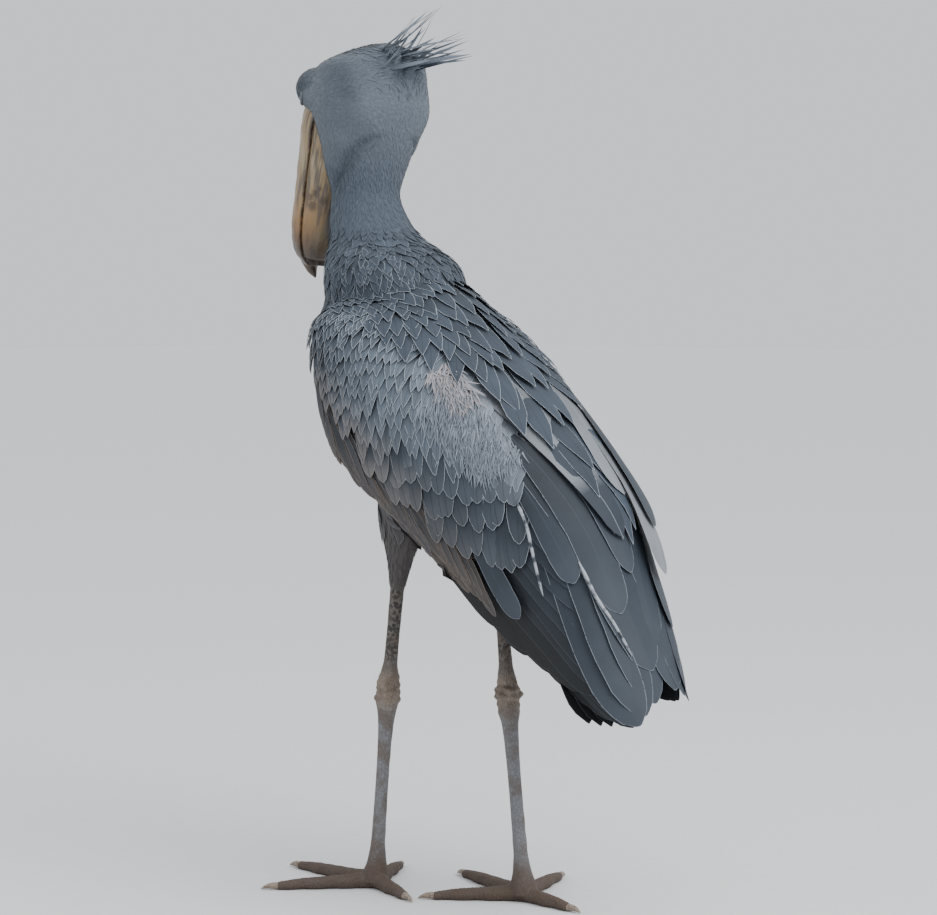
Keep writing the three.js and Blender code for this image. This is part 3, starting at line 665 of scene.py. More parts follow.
skin = melted("skin", forms, VOXEL, SMOOTHING)
spots, outward = places(skin)
in_head = to_head(spots)
push = np.zeros(len(spots))
for centre, reach, out in FACE_FORMS:
    for side in SIDES.values():
        away = np.linalg.norm(in_head - np.array(centre) * [1, side, 1], axis=1)
        push += out * soft_spot(away / reach) / (1 + (centre[1] == 0))
push -= FOLD_DEPTH * throat_fold(in_head)
spots += outward * push[:, None]
spots[:, 2] -= CROWN_DROP * smooth_step(in_head[:, 2], 42, 84)
EYES = {name: on_head(EYE_AT[0], side * EYE_AT[1], EYE_AT[2]) for name, side in SIDES.items()}
LID_OPENING = (38, 30)  # degrees from the eye's outward axis to the lids' edge, fore and aft, and up and down
eye_axes = {name: unit(on_head(1.0, side, 0.05) - HEAD_CENTRE) for name, side in SIDES.items()}


def lid_edge(flat):
    """The angle from the eye's axis to the lids' edge in degrees, along directions square to that axis. The
    opening is an ellipse, wider fore and aft than up and down."""
    rise = flat[..., 2] ** 2
    return np.sqrt(LID_OPENING[0] ** 2 * (1 - rise) + LID_OPENING[1] ** 2 * rise)


def lid_angle(direction, axis):
    """How far a direction is from the eye's outward axis, as a share of the lids' opening: 1 at their
    edge."""
    away = np.degrees(np.arccos(np.clip(direction @ axis, -1, 1)))
    return away / lid_edge(unit(direction - (direction @ axis)[..., None] * axis))


for name, centre in EYES.items():
    away = spots - centre
    distance = np.linalg.norm(away, axis=1)
    open_share = 1 - smooth_step(lid_angle(unit(away), eye_axes[name]), 0.85, 1.15)
    open_share *= distance < SOCKET_REACH
    spots = centre + unit(away) * (distance + (EYE_RADIUS - SOCKET - distance) * open_share)[:, None]
put_places(skin, spots)
print("skin:", len(skin.data.vertices), "points", len(skin.data.polygons), "faces")
print("faces that have not four corners:", len(skin.data.polygons) * 4 - len(skin.data.loops))

# %% [markdown]
# ## Where feathers grow and which way they lie
# A feather starts at a root on the skin and follows it. Its direction comes from where it grows: back from
# the bill over the head, down the neck, along the back and belly to the tail, and down each thigh. Roots
# are spread by throwing darts at the skin and keeping those that stay far enough from the others.

# %% Roots and lines on the skin
tree_of_skin = BVHTree.FromPolygons(spots.tolist(), [tuple(p.vertices) for p in skin.data.polygons])
skin.data.calc_loop_triangles()
corner = np.empty(len(skin.data.loop_triangles) * 3, np.int32)
skin.data.loop_triangles.foreach_get("vertices", corner)
corner = corner.reshape(-1, 3)
a, b, c = spots[corner[:, 0]], spots[corner[:, 1]], spots[corner[:, 2]]
face_cross = np.cross(b - a, c - a)
face_area = np.linalg.norm(face_cross, axis=1) / 2


def throw_roots(where, spacing, crowd=5.0):
    """Points on the skin's triangles that the test `where` takes, at least `spacing` millimetres apart.
    A dart lands on a triangle by its area, at a + sqrt(r) * ((1 - s)(b - a) + s(c - a)); a coarse grid of
    cells with the darts kept so far shows whether another is too near."""
    middle = (a + b + c) / 3
    wanted = np.nonzero(where(middle))[0]
    area = face_area[wanted]
    count = int(crowd * area.sum() / spacing**2)
    chosen = wanted[np.searchsorted(np.cumsum(area) / area.sum(), RNG.random(count))]
    r, s = np.sqrt(RNG.random(count))[:, None], RNG.random(count)[:, None]
    darts = a[chosen] + r * ((1 - s) * (b[chosen] - a[chosen]) + s * (c[chosen] - a[chosen]))
    cells, kept = {}, []
    near = [(x, y, z) for x in (-1, 0, 1) for y in (-1, 0, 1) for z in (-1, 0, 1)]
    homes = np.floor(darts / spacing).astype(int).tolist()
    for number, (dart, cell) in enumerate(zip(darts.tolist(), homes)):
        close = (
            other
            for x, y, z in near
            for other in cells.get((cell[0] + x, cell[1] + y, cell[2] + z), ())
        )
        if all((dart[0] - o[0]) ** 2 + (dart[1] - o[1]) ** 2 + (dart[2] - o[2]) ** 2 >= spacing**2
               for o in close):
            cells.setdefault(tuple(cell), []).append(dart)
            kept.append(number)
    return darts[kept]


def on_skin(points):
    """The nearest places on the skin and the skin's outward directions there."""
    found = [tree_of_skin.find_nearest(p) for p in points.tolist()]
    return np.array([f[0] for f in found]), np.array([f[1] for f in found])


BACKWARD = on_body(1, 0, 0) - on_body(0, 0, 0)
DOWN = np.array([0.0, 0.0, -1.0])


def lie(points):
    """The direction in which the plumage lies: head, neck, body and thigh, blended by height and place."""
    head_place, body_place = to_head(points), to_body(points)
    backward = on_head(-1, 0, 0) - HEAD_CENTRE
    below = smooth_step(-head_place[..., 2], -40, 70)[..., None]
    head_lie = backward * (1 - 0.55 * below) + DOWN * (1.2 * below - 0.12)
    neck_lie = DOWN + 0.12 * backward
    neck_share = smooth_step(points[..., 2], 925, 1000)[..., None]
    upper = unit(head_lie) * neck_share + unit(neck_lie) * (1 - neck_share)
    body_share = smooth_step(body_place[..., 0], -40, 90)[..., None]
    lower = BACKWARD * body_share + DOWN * (1 - body_share)
    trunk_share = smooth_step(points[..., 2], 780, 850)[..., None]
    made = unit(upper) * trunk_share + unit(lower) * (1 - trunk_share)
    for leg in LEGS.values():
        hip, bare, _, _ = leg_places(leg)
        along, off = by_thigh(points, leg)
        share = (smooth_step(along, 0.15, 0.45) * (1 - smooth_step(off, 40, 60)))[..., None]
        made = made * (1 - share) + unit(bare - hip) * share
    return unit(made)


def lines_on_skin(roots, length, steps, stray=0.12):
    """Lines of `steps` points that start at the roots and follow the skin along the plumage's lie. Each step
    moves length / (steps - 1), and is then put back on the skin. Returns the lines and their outward
    directions."""
    place, out = on_skin(roots)
    drift = RNG.normal(0, stray, roots.shape)
    line, outs = [place], [out]
    for _ in range(steps - 1):
        heading = lie(place) + drift
        heading = unit(heading - out * (heading * out).sum(-1, keepdims=True))
        place, out = on_skin(place + heading * (np.asarray(length) / (steps - 1))[..., None])
        line.append(place)
        outs.append(out)
    return np.stack(line, 1), np.stack(outs, 1)


print("skin area", round(face_area.sum() / 1e6, 3), "square metres")

# %% [markdown]
# ## What a feather is here
# A feather is a shaft with barbs on both sides that lock into a vane. Each one is a thin closed pillow: a
# grid of points on its face, the same grid on its back, and one shared outline. A shallow camber across it
# follows the body. The finish needs to know where on the feather it is, so the points carry attributes:
# how far the rim is, the place along the barbs, the distance from the shaft and the share of the length.

# %% Vanes
COAT = {}  # coat pieces and how many triangles each has
BARB_SLANT = 0.75  # a barb runs this far forward for each millimetre from the shaft
EARLY_LIFT = 1.15  # a vane has its full lift at 1 / EARLY_LIFT of its length
TIP_RIM = 0.8  # how strongly the tip itself counts as a rim
SHARP_FROM = math.radians(70)
PATCH = 0.003  # each vane's patch on the unwrap of the skin is this wide and long

SHAPES = {
    # half width against the share of the length, as (share, half) knots
    "pointed": profile([[0, 0.35], [0.2, 0.72], [0.45, 0.98], [0.65, 0.92], [0.84, 0.6], [0.94, 0.3],
                        [1, 0.03]]),
    "lance": profile([[0, 0.35], [0.2, 0.75], [0.42, 1.0], [0.6, 0.94], [0.78, 0.68], [0.9, 0.36],
                      [1, 0.03]]),
    "rounded": profile([[0, 0.35], [0.2, 0.75], [0.5, 1.0], [0.75, 0.95], [0.9, 0.68], [0.97, 0.38],
                        [1, 0.06]]),
    "long": profile([[0, 0.3], [0.15, 0.6], [0.4, 0.88], [0.75, 1.0], [0.9, 0.84], [0.97, 0.48], [1, 0.06]]),
    "wisp": profile([[0, 0.5], [0.3, 1.0], [0.6, 0.7], [0.85, 0.3], [1, 0.04]]),
}


def vane_faces(rows, columns):
    """Faces of one vane as quads. The front grid is numbered row by row, the back grid has points of its own
    only inside the outline, and the two share the outline, which closes the pillow."""
    grid = np.arange(rows * columns).reshape(rows, columns)
    behind = grid.copy()
    behind[1:-1, 1:-1] = rows * columns + np.arange((rows - 2) * (columns - 2)).reshape(rows - 2, columns - 2)

    def quads(g):
        """The four corners of every face of a grid of point numbers."""
        return np.stack([g[:-1, :-1], g[:-1, 1:], g[1:, 1:], g[1:, :-1]], -1).reshape(-1, 4)

    return np.vstack([quads(grid), quads(behind)[:, ::-1]])


def feathers(name, line, out, half, shape, material, colours, uv, lift=(0, 2), columns=5, thick=0.5,
             camber=110.0, ragged=0.04, slant=0.0, rim_width=0.9):
    """One piece of many vanes. A point of the vane is line + side * across + out * (lift + camber), where
    side is the direction square to the line and to `out`, across is -1 to 1 times the half width at that
    share, and the camber is -across^2 / (2 * radius). `colours` gives base, rim and dip for each vane."""
    number, rows, _ = line.shape
    steps = np.linalg.norm(np.diff(line, axis=1), axis=2)
    gone = steps.cumsum(1)
    share = np.concatenate([[0], (gone / gone[:, -1:]).mean(0)])
    profile_here = SHAPES[shape](share)[:, 0]
    width = half[:, None] * profile_here[None] * (1 + RNG.normal(0, ragged, (number, rows)))
    width[:, 0] = half * profile_here[0]
    going = unit(np.gradient(line, axis=1))
    side = unit(np.cross(going, out))
    turned = unit(np.cross(side, going))
    across = np.linspace(-1, 1, columns)
    offset = width[..., None] * across
    root_lift, tip_lift = (np.broadcast_to(end, number) for end in lift)
    raised = root_lift[:, None] + (tip_lift - root_lift)[:, None] * np.minimum(share * EARLY_LIFT, 1)
    tilt = np.broadcast_to(slant, number)[:, None, None] * offset
    high = raised[..., None] - offset**2 / (2 * camber) + tilt
    face = line[:, :, None] + side[:, :, None] * offset[..., None] + turned[:, :, None] * high[..., None]
    back = (face - turned[:, :, None] * thick)[:, 1:-1, 1:-1]
    points = np.concatenate([face.reshape(number, -1, 3), back.reshape(number, -1, 3)], axis=1)
    one = vane_faces(rows, columns)
    faces = (one[None] + (np.arange(number) * points.shape[1])[:, None, None]).reshape(-1, 4)
    piece = put_mesh(name, points, faces, material)
    mesh = piece.data
    length = steps.sum(1)
    rim = width[..., None] * (1 - np.abs(across))
    rim = np.minimum(rim, ((1 - share) * length[:, None])[..., None] * TIP_RIM)
    barb = share[:, None] * length[:, None, None] - BARB_SLANT * np.abs(offset)
    place = stacked(rim / rim_width, barb, np.abs(offset))
    amount = stacked(share[:, None] + 0 * across, colours["dip"][:, None, None],
                     RNG.random(number)[:, None, None])

    def both(values):
        """The values of the vane's face, then those of its back, which has points only inside the outline."""
        sizes = (number, -1, values.shape[-1])
        return np.concatenate([values.reshape(sizes), values[:, 1:-1, 1:-1].reshape(sizes)], 1)

    note(piece, "place", both(place))
    note(piece, "amount", both(amount))
    for key in ("base", "rim"):
        note(piece, key, np.repeat(opaque(colours[key])[:, None], points.shape[1], 1))
    patch = stacked(across * 0.5, share[:, None] - 0.5) * PATCH
    unwrap = both(uv[:, None, None] + patch[None])
    layer = mesh.uv_layers.new(name="OFBake")
    corners = np.empty(len(mesh.loops), np.int32)
    mesh.loops.foreach_get("vertex_index", corners)
    layer.data.foreach_set("uv", unwrap.reshape(-1, 2)[corners].astype(np.float32).ravel())
    mesh.set_sharp_from_angle(angle=SHARP_FROM)
    COAT[name] = len(faces) * 2
    print(name, number, "vanes,", COAT[name], "triangles")
    return piece


def unwrap_head(points):
    """The head and neck unrolled: the turn about the vertical by the height."""
    p = to_head(points)
    return stacked(0.5 + 0.48 * np.arctan2(p[..., 1], p[..., 0]) / math.pi,
                   0.02 + (points[..., 2] - 720) / 400 * 0.95)


def unwrap_body(points):
    """The body unrolled: the turn about the spine by the distance back along it."""
    p = to_body(points)
    turn = np.arctan2(p[..., 1], p[..., 2] + 10) / math.pi
    return stacked(0.5 + 0.48 * turn, 0.06 + (p[..., 0] + 100) / 860 * 0.9)

# %% [markdown]
# ## The markings
# One set of functions says what colour the bird is at a place, for the skin and for the feathers that grow
# from it. The whole bird is slate, a blue-grey that dust and wear turn brown at the flanks and the tips of
# the wing's lower coverts, and paler over the wing's middle, where the short feathers are silky. On the
# head some light and shade is painted in: shade in the temple's hollow and the fold under the jowl, and a
# highlight on the middle of the cheek.

# %% Colours
HEAD_GREY = linear("#5a636d")
# slate of the forehead and crown, also used as painted shade in the temple's hollow and the fold under the
# jowl
BROW_SLATE_AND_SHADE = linear("#343d47")
NECK_GREY = linear("#48525d")
MANTLE_SLATE = linear("#323b45")
RIM_PALE = linear("#a4acb5")
WING_GREY = linear("#4f5963")
WING_SILK = linear("#7c838d")
COVERT_SLATE = linear("#2a323b")
BEIGE = linear("#84766a")
LORE_BROWN = linear("#5e5147")
DOWN_PINK = linear("#989192")
FLIGHT_SLATE = linear("#262e37")
FLIGHT_DARK = linear("#101316")
TERTIAL_PALE = linear("#6f747a")
BELLY_GREY = linear("#4b4e53")
FLANK_BROWN = linear("#4b433c")


def blend(first, second, share):
    """first * (1 - share) + second * share, for colours and one share each."""
    share = np.asarray(share, float)[..., None]
    return first * (1 - share) + second * share


def shaded(colours, spread=0.07):
    """Each colour lightened or darkened by its own small chance, as no two feathers wear alike."""
    return np.clip(colours * (1 + RNG.normal(0, spread, (len(colours), 1))), 0, 1)


def head_colour(points):
    """Pale grey cheeks and nape, darker slate forehead and crown, painted shade in the temple's hollow and in
    the fold under the jowl, and a painted highlight on the middle of the cheek.
    """
    p = to_head(points)
    brow = smooth_step(p[..., 0], 30, 60) * smooth_step(p[..., 2], -22, 0)
    crown = 0.5 * smooth_step(p[..., 2], 44, 76)
    # painted shade in the hollow of the temple
    temple = 0.55 * soft_spot((p[..., 0] + 38 - 0.45 * p[..., 2]) / 20, (p[..., 2] - 16) / 34)
    # 0.7 of the fold: painted shade in the crease under the jowl
    dark = np.clip(brow + crown + temple + 0.7 * throat_fold(p), 0, 1)
    made = blend(blend(HEAD_GREY, NECK_GREY, smooth_step(-p[..., 2], 50, 120)), BROW_SLATE_AND_SHADE, dark)
    # painted highlight: the middle of the cheek's swelling is lightened
    cheek = soft_spot((p[..., 0] + 66) / 24, (p[..., 2] + 20) / 26)
    made = made * (1 + 0.14 * cheek)[..., None]
    lore = smooth_step(p[..., 0], 36, 54) * soft_spot((p[..., 2] + 16) / 13)
    made = blend(made, LORE_BROWN, 0.8 * lore)
    return blend(made, MANTLE_SLATE, smooth_step(-points[..., 2], -880, -790) * 0.95)


def body_colour(points):
    """Slate on the back, grey on the breast and belly, brown where the flank meets the thigh and the tail."""
    p = to_body(points)
    under = smooth_step(-p[..., 2], -10, 70)
    rear = smooth_step(p[..., 0], 180, 420)
    made = blend(MANTLE_SLATE, BELLY_GREY, under)
    return blend(made, FLANK_BROWN, under * (0.35 + 0.65 * rear))


def skin_colour(points):
    """The markings of head and body, joined at the foot of the neck."""
    return blend(body_colour(points), head_colour(points), smooth_step(points[..., 2], 770, 830))


print("colours ready; head grey in linear light is", np.round(HEAD_GREY, 3))

# %% [markdown]
# ## The finish of a feather
# Keratin barbs hold dull pigment, so a vane is matt with a faint silky sheen. A thin pale line runs round
# it where the rim has worn, the shaft is a fine dark line, and barbs slant from the shaft to the rim. Real
# barbs stand a third of a millimetre apart, too fine for the picture, so they are drawn at four times that.

# %% Feather material
BARB_SPACING = 1.3


def feather_finish(name, roughness, sheen, barb_depth, shaft_shade, rim_share=1.0, mottle=0.25,
                   root_shade=0.4):
    """Vane finish: base colour darkened towards the root, partly the feather's own darker centre and partly
    painted shade where the row above overlaps it, its rim and dipped tip in the rim colour, barbs as a
    sine of their place along the vane, and the shaft as a line where the distance from it is small."""
    made, tree, shader = finish_of(name, roughness, Sheen_Weight=sheen, Sheen_Roughness=0.5,
                                   Specular_IOR_Level=0.3)
    from_rim, along_barbs, from_shaft = split(tree, stored(tree, "place"))
    share, dip, _ = split(tree, stored(tree, "amount"))
    base, rim = stored(tree, "base", "Color"), stored(tree, "rim", "Color")
    where = object_place(tree)
    wear = noise(tree, where, 260.0, 3.0)
    cloud = noise(tree, where, 28.0, 2.0)
    wave = math_node(tree, "SINE", times(tree, along_barbs, 2 * math.pi / BARB_SPACING))
    barbs = math_node(tree, "MULTIPLY_ADD", wave, 0.5, 0.5)
    uneven = math_node(tree, "MULTIPLY_ADD", cloud, mottle * 2, 1 - mottle)
    stripes = math_node(tree, "MULTIPLY_ADD", barbs, 0.14, 0.93)
    # darker towards the root: partly the feather's darker centre, partly painted shade under the row above
    root_tone_and_shade = math_node(tree, "MULTIPLY_ADD", fade(tree, share, 0.1, 0.75), root_shade, 1 - root_shade)
    toned = mixed(tree, 1.0, base, times(tree, times(tree, uneven, stripes), root_tone_and_shade), "MULTIPLY")
    tipped = mixed(tree, times(tree, fade(tree, share, 0.62, 0.98), dip), toned, rim)
    worn = times(tree, rest_of(tree, fade(tree, from_rim, 0.45, 1.35)), fade(tree, wear, 0.22, 0.5))
    edged = mixed(tree, times(tree, worn, rim_share), tipped, rim)
    shaft = times(tree, rest_of(tree, fade(tree, from_shaft, 0.25, 0.75)), 0.65)
    painted(tree, shader, mixed(tree, shaft, edged, mixed(tree, 1.0, base, shaft_shade, "MULTIPLY")))
    relief = math_node(tree, "ADD", times(tree, barbs, 0.6), times(tree, wear, 0.4))
    bumped(tree, shader, relief, barb_depth, 0.0006)
    return made


DARKER = (0.55, 0.55, 0.57)
PALER = (1.5, 1.5, 1.5)
HARDLY_DARKER = (0.95, 0.95, 0.95)
soft_plumage = feather_finish("soft head plumage", 0.9, 0.06, 0.2, HARDLY_DARKER, rim_share=0.3, mottle=0.14,
                              root_shade=0.14)
body_plumage = feather_finish("body plumage keratin", 0.75, 0.02, 0.35, DARKER, root_shade=0.5)
wing_plumage = feather_finish("wing covert keratin", 0.7, 0.02, 0.4, DARKER, root_shade=0.65)
flight_plumage = feather_finish("flight feather keratin", 0.6, 0.02, 0.35, PALER, mottle=0.3, root_shade=0.4)

# The skin between the feathers has their colours, kept in an attribute, and the grain of short down. With
# the grain's mean of 0.85 and a factor of 0.95 it is darker than the feathers: painted shade under them.
bare_skin, tree, shader = finish_of("down over skin", 0.9, Sheen_Weight=0.1)
grain = noise(tree, object_place(tree), 320.0, 4.0)
shade = math_node(tree, "MULTIPLY_ADD", grain, 0.5, 0.6)
painted(tree, shader, mixed(tree, 1.0, stored(tree, "base", "Color"), shade, "MULTIPLY"))
bumped(tree, shader, grain, 0.5, 0.001)
# times 0.95: painted shade of the skin under the plumage
note(skin, "base", opaque(skin_colour(spots) * 0.95))
print("materials:", len(bpy.data.materials))

# %% [markdown]
# ## Plumage of the head, neck, body and thighs
# The head's feathers are short and so fine that they read as velvet, so they are many small vanes that lie
# almost flat. They lengthen down the neck, and at its foot they turn into the pale-rimmed mantle feathers.

# %% Feathers that follow the skin


def to_bill(points):
    """Points of the bird's frame as along, left and out in the bill's axes."""
    p = to_head(points) - [BILL_BASE[0], 0, BILL_BASE[1]]
    c, s = math.cos(BILL_PITCH), math.sin(BILL_PITCH)
    return stacked(p[..., 0] * c - p[..., 2] * s, p[..., 1], p[..., 0] * s + p[..., 2] * c)


bill_at = profile([
    [-30, 30, 36, 26], [0, 47, 52, 40], [50, 46, 49, 40], [110, 42, 45, 36], [160, 37, 44, 30],
    [190, 27, 38, 20], [205, 13, 26, 9],
])
LIDS_REACH = 3.2  # no feather grows nearer than this to the eyeball


def clear_of_face(points):
    """True where feathers grow: outside the bill and its bare base, and clear of the eyelids."""
    in_bill = to_bill(points)
    half, ridge, chin = np.moveaxis(bill_at(in_bill[..., 0]), -1, 0)
    along, left, out = np.moveaxis(in_bill, -1, 0)
    free = ~((along > -22) & (np.abs(left) < half) & (out < ridge) & (out > -chin))
    for centre in EYES.values():
        free &= np.linalg.norm(points - centre, axis=-1) > EYE_RADIUS + LIDS_REACH
    return free


def legs_apart(points):
    """True where a point is on a thigh below the belly."""
    near = np.zeros(points.shape[:-1], bool)
    for leg in LEGS.values():
        along, off = by_thigh(points, leg, 1.1)
        near |= (along > 0.2) & (off < 46 - 26 * np.clip(along, 0, 1))
    return near


def off_the_wing(points):
    """True where a point of the skin isn't on the outside of the folded wing or the mantle, which have rows
    of their own: it lies well inside the hull, or behind or below the wing."""
    p = to_body(points)
    half, top, bottom = np.moveaxis(wing_at(p[..., 0]), -1, 0)
    side = np.where(p[..., 1] > 0, 1, -1)
    q = turn_at(p[..., 0], np.clip(p[..., 2], bottom, top))
    gap = np.linalg.norm(points - hull(side, p[..., 0], q), axis=-1)
    on_wing = (p[..., 0] > -2) & (p[..., 0] < 366) & (p[..., 2] > bottom + 4) & (gap < 12)
    on_back = (p[..., 0] > 22) & (p[..., 2] > 60)
    return ~(on_wing | on_back)


def plain(base, rim=RIM_PALE, rim_share=0.5, dip=0.0):
    """Colour choices for a group of vanes. Each rim is the vane's base colour moved towards `rim` by a
    share."""
    share, dip = (np.broadcast_to(np.asarray(value, float), len(base)) for value in (rim_share, dip))
    return {"base": base, "rim": blend(base, rim, share), "dip": dip}


def at_roots(value, roots):
    """One number for each root, from a function of the roots or from one number for all."""
    return value(roots) if callable(value) else np.full(len(roots), float(value))


def skin_group(name, where, spacing, length, half, steps, columns, shape, material, rim_share, unwrap, lift,
               stray=0.12, thick=0.4, rim=RIM_PALE, tone=1.0, spread=0.07, rim_width=0.6):
    """Feathers on one part of the skin. Length, half width and the rims' share are numbers or functions of
    the roots, and each feather's length is up to some tenths longer or shorter by chance."""
    roots = throw_roots(where, spacing)
    long = at_roots(length, roots) * (1 + RNG.normal(0, 0.1, len(roots)))
    line, out = lines_on_skin(roots, long, steps, stray)
    base = shaded(skin_colour(roots) * tone, spread)
    look = plain(base, rim, at_roots(rim_share, roots))
    return feathers(name, line, out, at_roots(half, roots), shape, material, look, unwrap(roots), lift=lift,
                    columns=columns, thick=thick, camber=60.0, rim_width=rim_width)


def face_near(points):
    """0 behind the eyes, 1 at the base of the bill."""
    return smooth_step(to_head(points)[..., 0], 10, 60)


def on_crown(points):
    """True on the back and the top of the crown."""
    forward, left, _ = np.moveaxis(to_head(points), -1, 0)
    return (points[..., 2] > 1020) & (forward < -10) & (np.abs(left) < 50)


def at_neck_foot(points):
    """The share of a pale rim at the foot of the neck: at its sides, and less where the neck begins."""
    beside = smooth_step(np.abs(points[..., 1]), 22, 62)
    return 0.1 + 0.65 * beside * (1 - smooth_step(points[..., 2], 800, 846))


skin_group(
    "head_feathers", lambda p: (p[..., 2] > 925) & clear_of_face(p), 2.9,
    lambda p: 11.5 - 5.0 * face_near(p), lambda p: 1.5 - 0.5 * face_near(p), 4, 3, "wisp", soft_plumage,
    0.1, unwrap_head, (-0.5, 0.5), stray=0.2, thick=0.2, spread=0.035,
)
skin_group(
    "crown_feathers", on_crown, 4.4, lambda p: 12.0 + 12.0 * smooth_step(-to_head(p)[..., 0], 10, 72), 1.5,
    5, 3, "wisp", soft_plumage, 0.1, unwrap_head, (-0.6, 1.6), stray=0.16, thick=0.25, spread=0.05,
)
skin_group(
    "neck_feathers", lambda p: (p[..., 2] <= 930) & (p[..., 2] > 832) & (to_head(p)[..., 0] < 200), 3.7,
    lambda p: 17.0 - 5.0 * smooth_step(p[..., 2], 840, 925),
    lambda p: 2.5 - 0.9 * smooth_step(p[..., 2], 840, 925),
    4, 3, "wisp", soft_plumage, lambda p: 0.25 * (1 - smooth_step(p[..., 2], 835, 875)), unwrap_head,
    (-0.6, 0.8), stray=0.16, thick=0.22, spread=0.05,
)
skin_group(
    "breast_and_belly", lambda p: (p[..., 2] <= 838) & ~legs_apart(p) & off_the_wing(p), 9.0,
    34.0, 7.0, 5, 3, "pointed", body_plumage, 0.3, unwrap_body, (-1.0, 3.0), stray=0.2, spread=0.1,
)
skin_group(
    "neck_foot", lambda p: (p[..., 2] <= 846) & (p[..., 2] > 742) & off_the_wing(p), 7.2,
    lambda p: 31.0 - 11.0 * smooth_step(p[..., 2], 760, 840),
    lambda p: 6.6 - 3.0 * smooth_step(p[..., 2], 760, 840), 6, 5,
    "lance", body_plumage, at_neck_foot, unwrap_head, (-0.6, 2.4), stray=0.18, spread=0.1, rim_width=0.5,
)
skin_group(
    "thigh_feathers", legs_apart, 4.4, 16.0, 2.6, 4, 3, "wisp", soft_plumage, 0.2, unwrap_body,
    (-0.6, 1.2), rim=BEIGE, stray=0.2, thick=0.3,
)
skin_group(
    "vent_down", lambda p: (to_body(p)[..., 0] > 350) & (to_body(p)[..., 2] < -40) & ~legs_apart(p), 6.5,
    38.0, 2.6, 5, 3, "wisp", soft_plumage, 0.2, unwrap_body, (0.0, 9.0),
    stray=0.4, rim=BEIGE, tone=1.25, spread=0.14,
)

# %% [markdown]
# ## Back and shoulders
# The mantle runs into the scapulars, which lengthen down the back and lie over the folded wings. They are
# set out in rows on the hull, from the wing's edge up to the spine, each row over the one behind it.

# %% Mantle and scapulars
TOP_TURN = 1.13  # the q of the uppermost tips, close to the spine
ROUND = UPPER_TURN * 105  # millimetres round the hull for a step of 1 in q
lower_line = profile([
    [0, 0.3], [52, 0.36], [112, 0.43], [175, 0.5], [205, 0.68], [240, 0.8], [328, 0.78], [371, 0.93],
    [457, 1.06],
])
mantle_size = profile([  # tip's place: length, half width, step to the next row, lift of the tip
    [14, 32, 7, 10, 3], [70, 48, 9, 14, 5], [110, 62, 11, 17, 7], [178, 92, 13.5, 24, 9],
    [248, 122, 16, 29, 11],
    [328, 146, 18, 34, 12], [394, 165, 19, 38, 12], [460, 190, 20, 42, 13],
])


def towards_tip(rows):
    """Shares of the length whose steps get shorter to the tip, 1 - (1 - t)^1.7, for a round tip from few
    rows."""
    return (1 - (1 - np.linspace(0, 1, rows)) ** 1.7)[:, None]


def steady(out):
    """Outward directions that stay as they are from two thirds of the way on, so that no tip twists."""
    held = out.copy()
    held[:, 2 * out.shape[1] // 3 :] = out[:, 2 * out.shape[1] // 3, None]
    return held


def hull_lines(side, root, tip, rows):
    """Lines on the hull between roots and tips given as [back, q], even in both, and their outward
    directions."""
    share = towards_tip(rows)
    path = root[:, None] * (1 - share) + tip[:, None] * share
    return hull(side, path[..., 0], path[..., 1]), steady(hull_out(side, path[..., 0], path[..., 1]))


def unwrap_wing(side, root):
    """The hull laid flat: the distance back along it by the turn round it, a half of the map to each side."""
    return stacked(0.25 + 0.5 * (side < 0) + 0.2 * (root[..., 1] - 0.2),
                   0.04 + (root[..., 0] + 20) / 720 * 0.92)


def unwrap_up(side, root):
    """The same for roots given as back and up."""
    return unwrap_wing(side, stacked(root[:, 0], turn_at(root[:, 0], root[:, 1])))


mantle_rows, at = [], 14.0
while at < 460:
    mantle_rows.append(at)
    at += mantle_size(at)[2]
for name, side in SIDES.items():
    tips, sizes = [], []
    for row, at in enumerate(mantle_rows):
        long, half, _, high = mantle_size(at)
        first = lower_line(at)[0]
        count = max(2, int(round((TOP_TURN - first) * ROUND / (1.3 * half))))
        turns = np.linspace(first, TOP_TURN, count) + (0.5 * (row % 2)) * (TOP_TURN - first) / count
        turns = turns[turns < SPINE - 0.01]
        stray = 0.22 * half * RNG.normal(0, 1, len(turns)) + 4 * RNG.normal(0, 1, len(turns))
        tips.append(stacked(at + stray, turns))
        sizes.append(np.tile([long, half, high], (len(turns), 1)) * RNG.uniform(0.88, 1.12, (len(turns), 3)))
    tips, sizes = np.vstack(tips), np.vstack(sizes)
    slope = np.radians(30 * (1 - smooth_step(tips[:, 1], 0.6, 1.1)) + RNG.normal(0, 3, len(tips)))
    root = stacked(tips[:, 0] - sizes[:, 0] * np.cos(slope),
                   np.minimum(tips[:, 1] + sizes[:, 0] * np.sin(slope) / ROUND, SPINE))
    line, out = hull_lines(side, root, tips, 8)
    base = shaded(np.tile(MANTLE_SLATE, (len(tips), 1)), 0.09)
    feathers("scapulars_" + name, line, out, sizes[:, 1], "lance", body_plumage, plain(base, RIM_PALE, 0.75),
             unwrap_wing(side, root), lift=(-2.0, sizes[:, 2]), columns=7, camber=70.0, rim_width=0.55,
             ragged=0.05)

# %% [markdown]
# ## Coverts
# Small feathers clothe the wing in rows, and each row covers the roots of the row behind. From the wing's
# bend backwards they grow longer, and the last row covers the roots of the flight feathers.

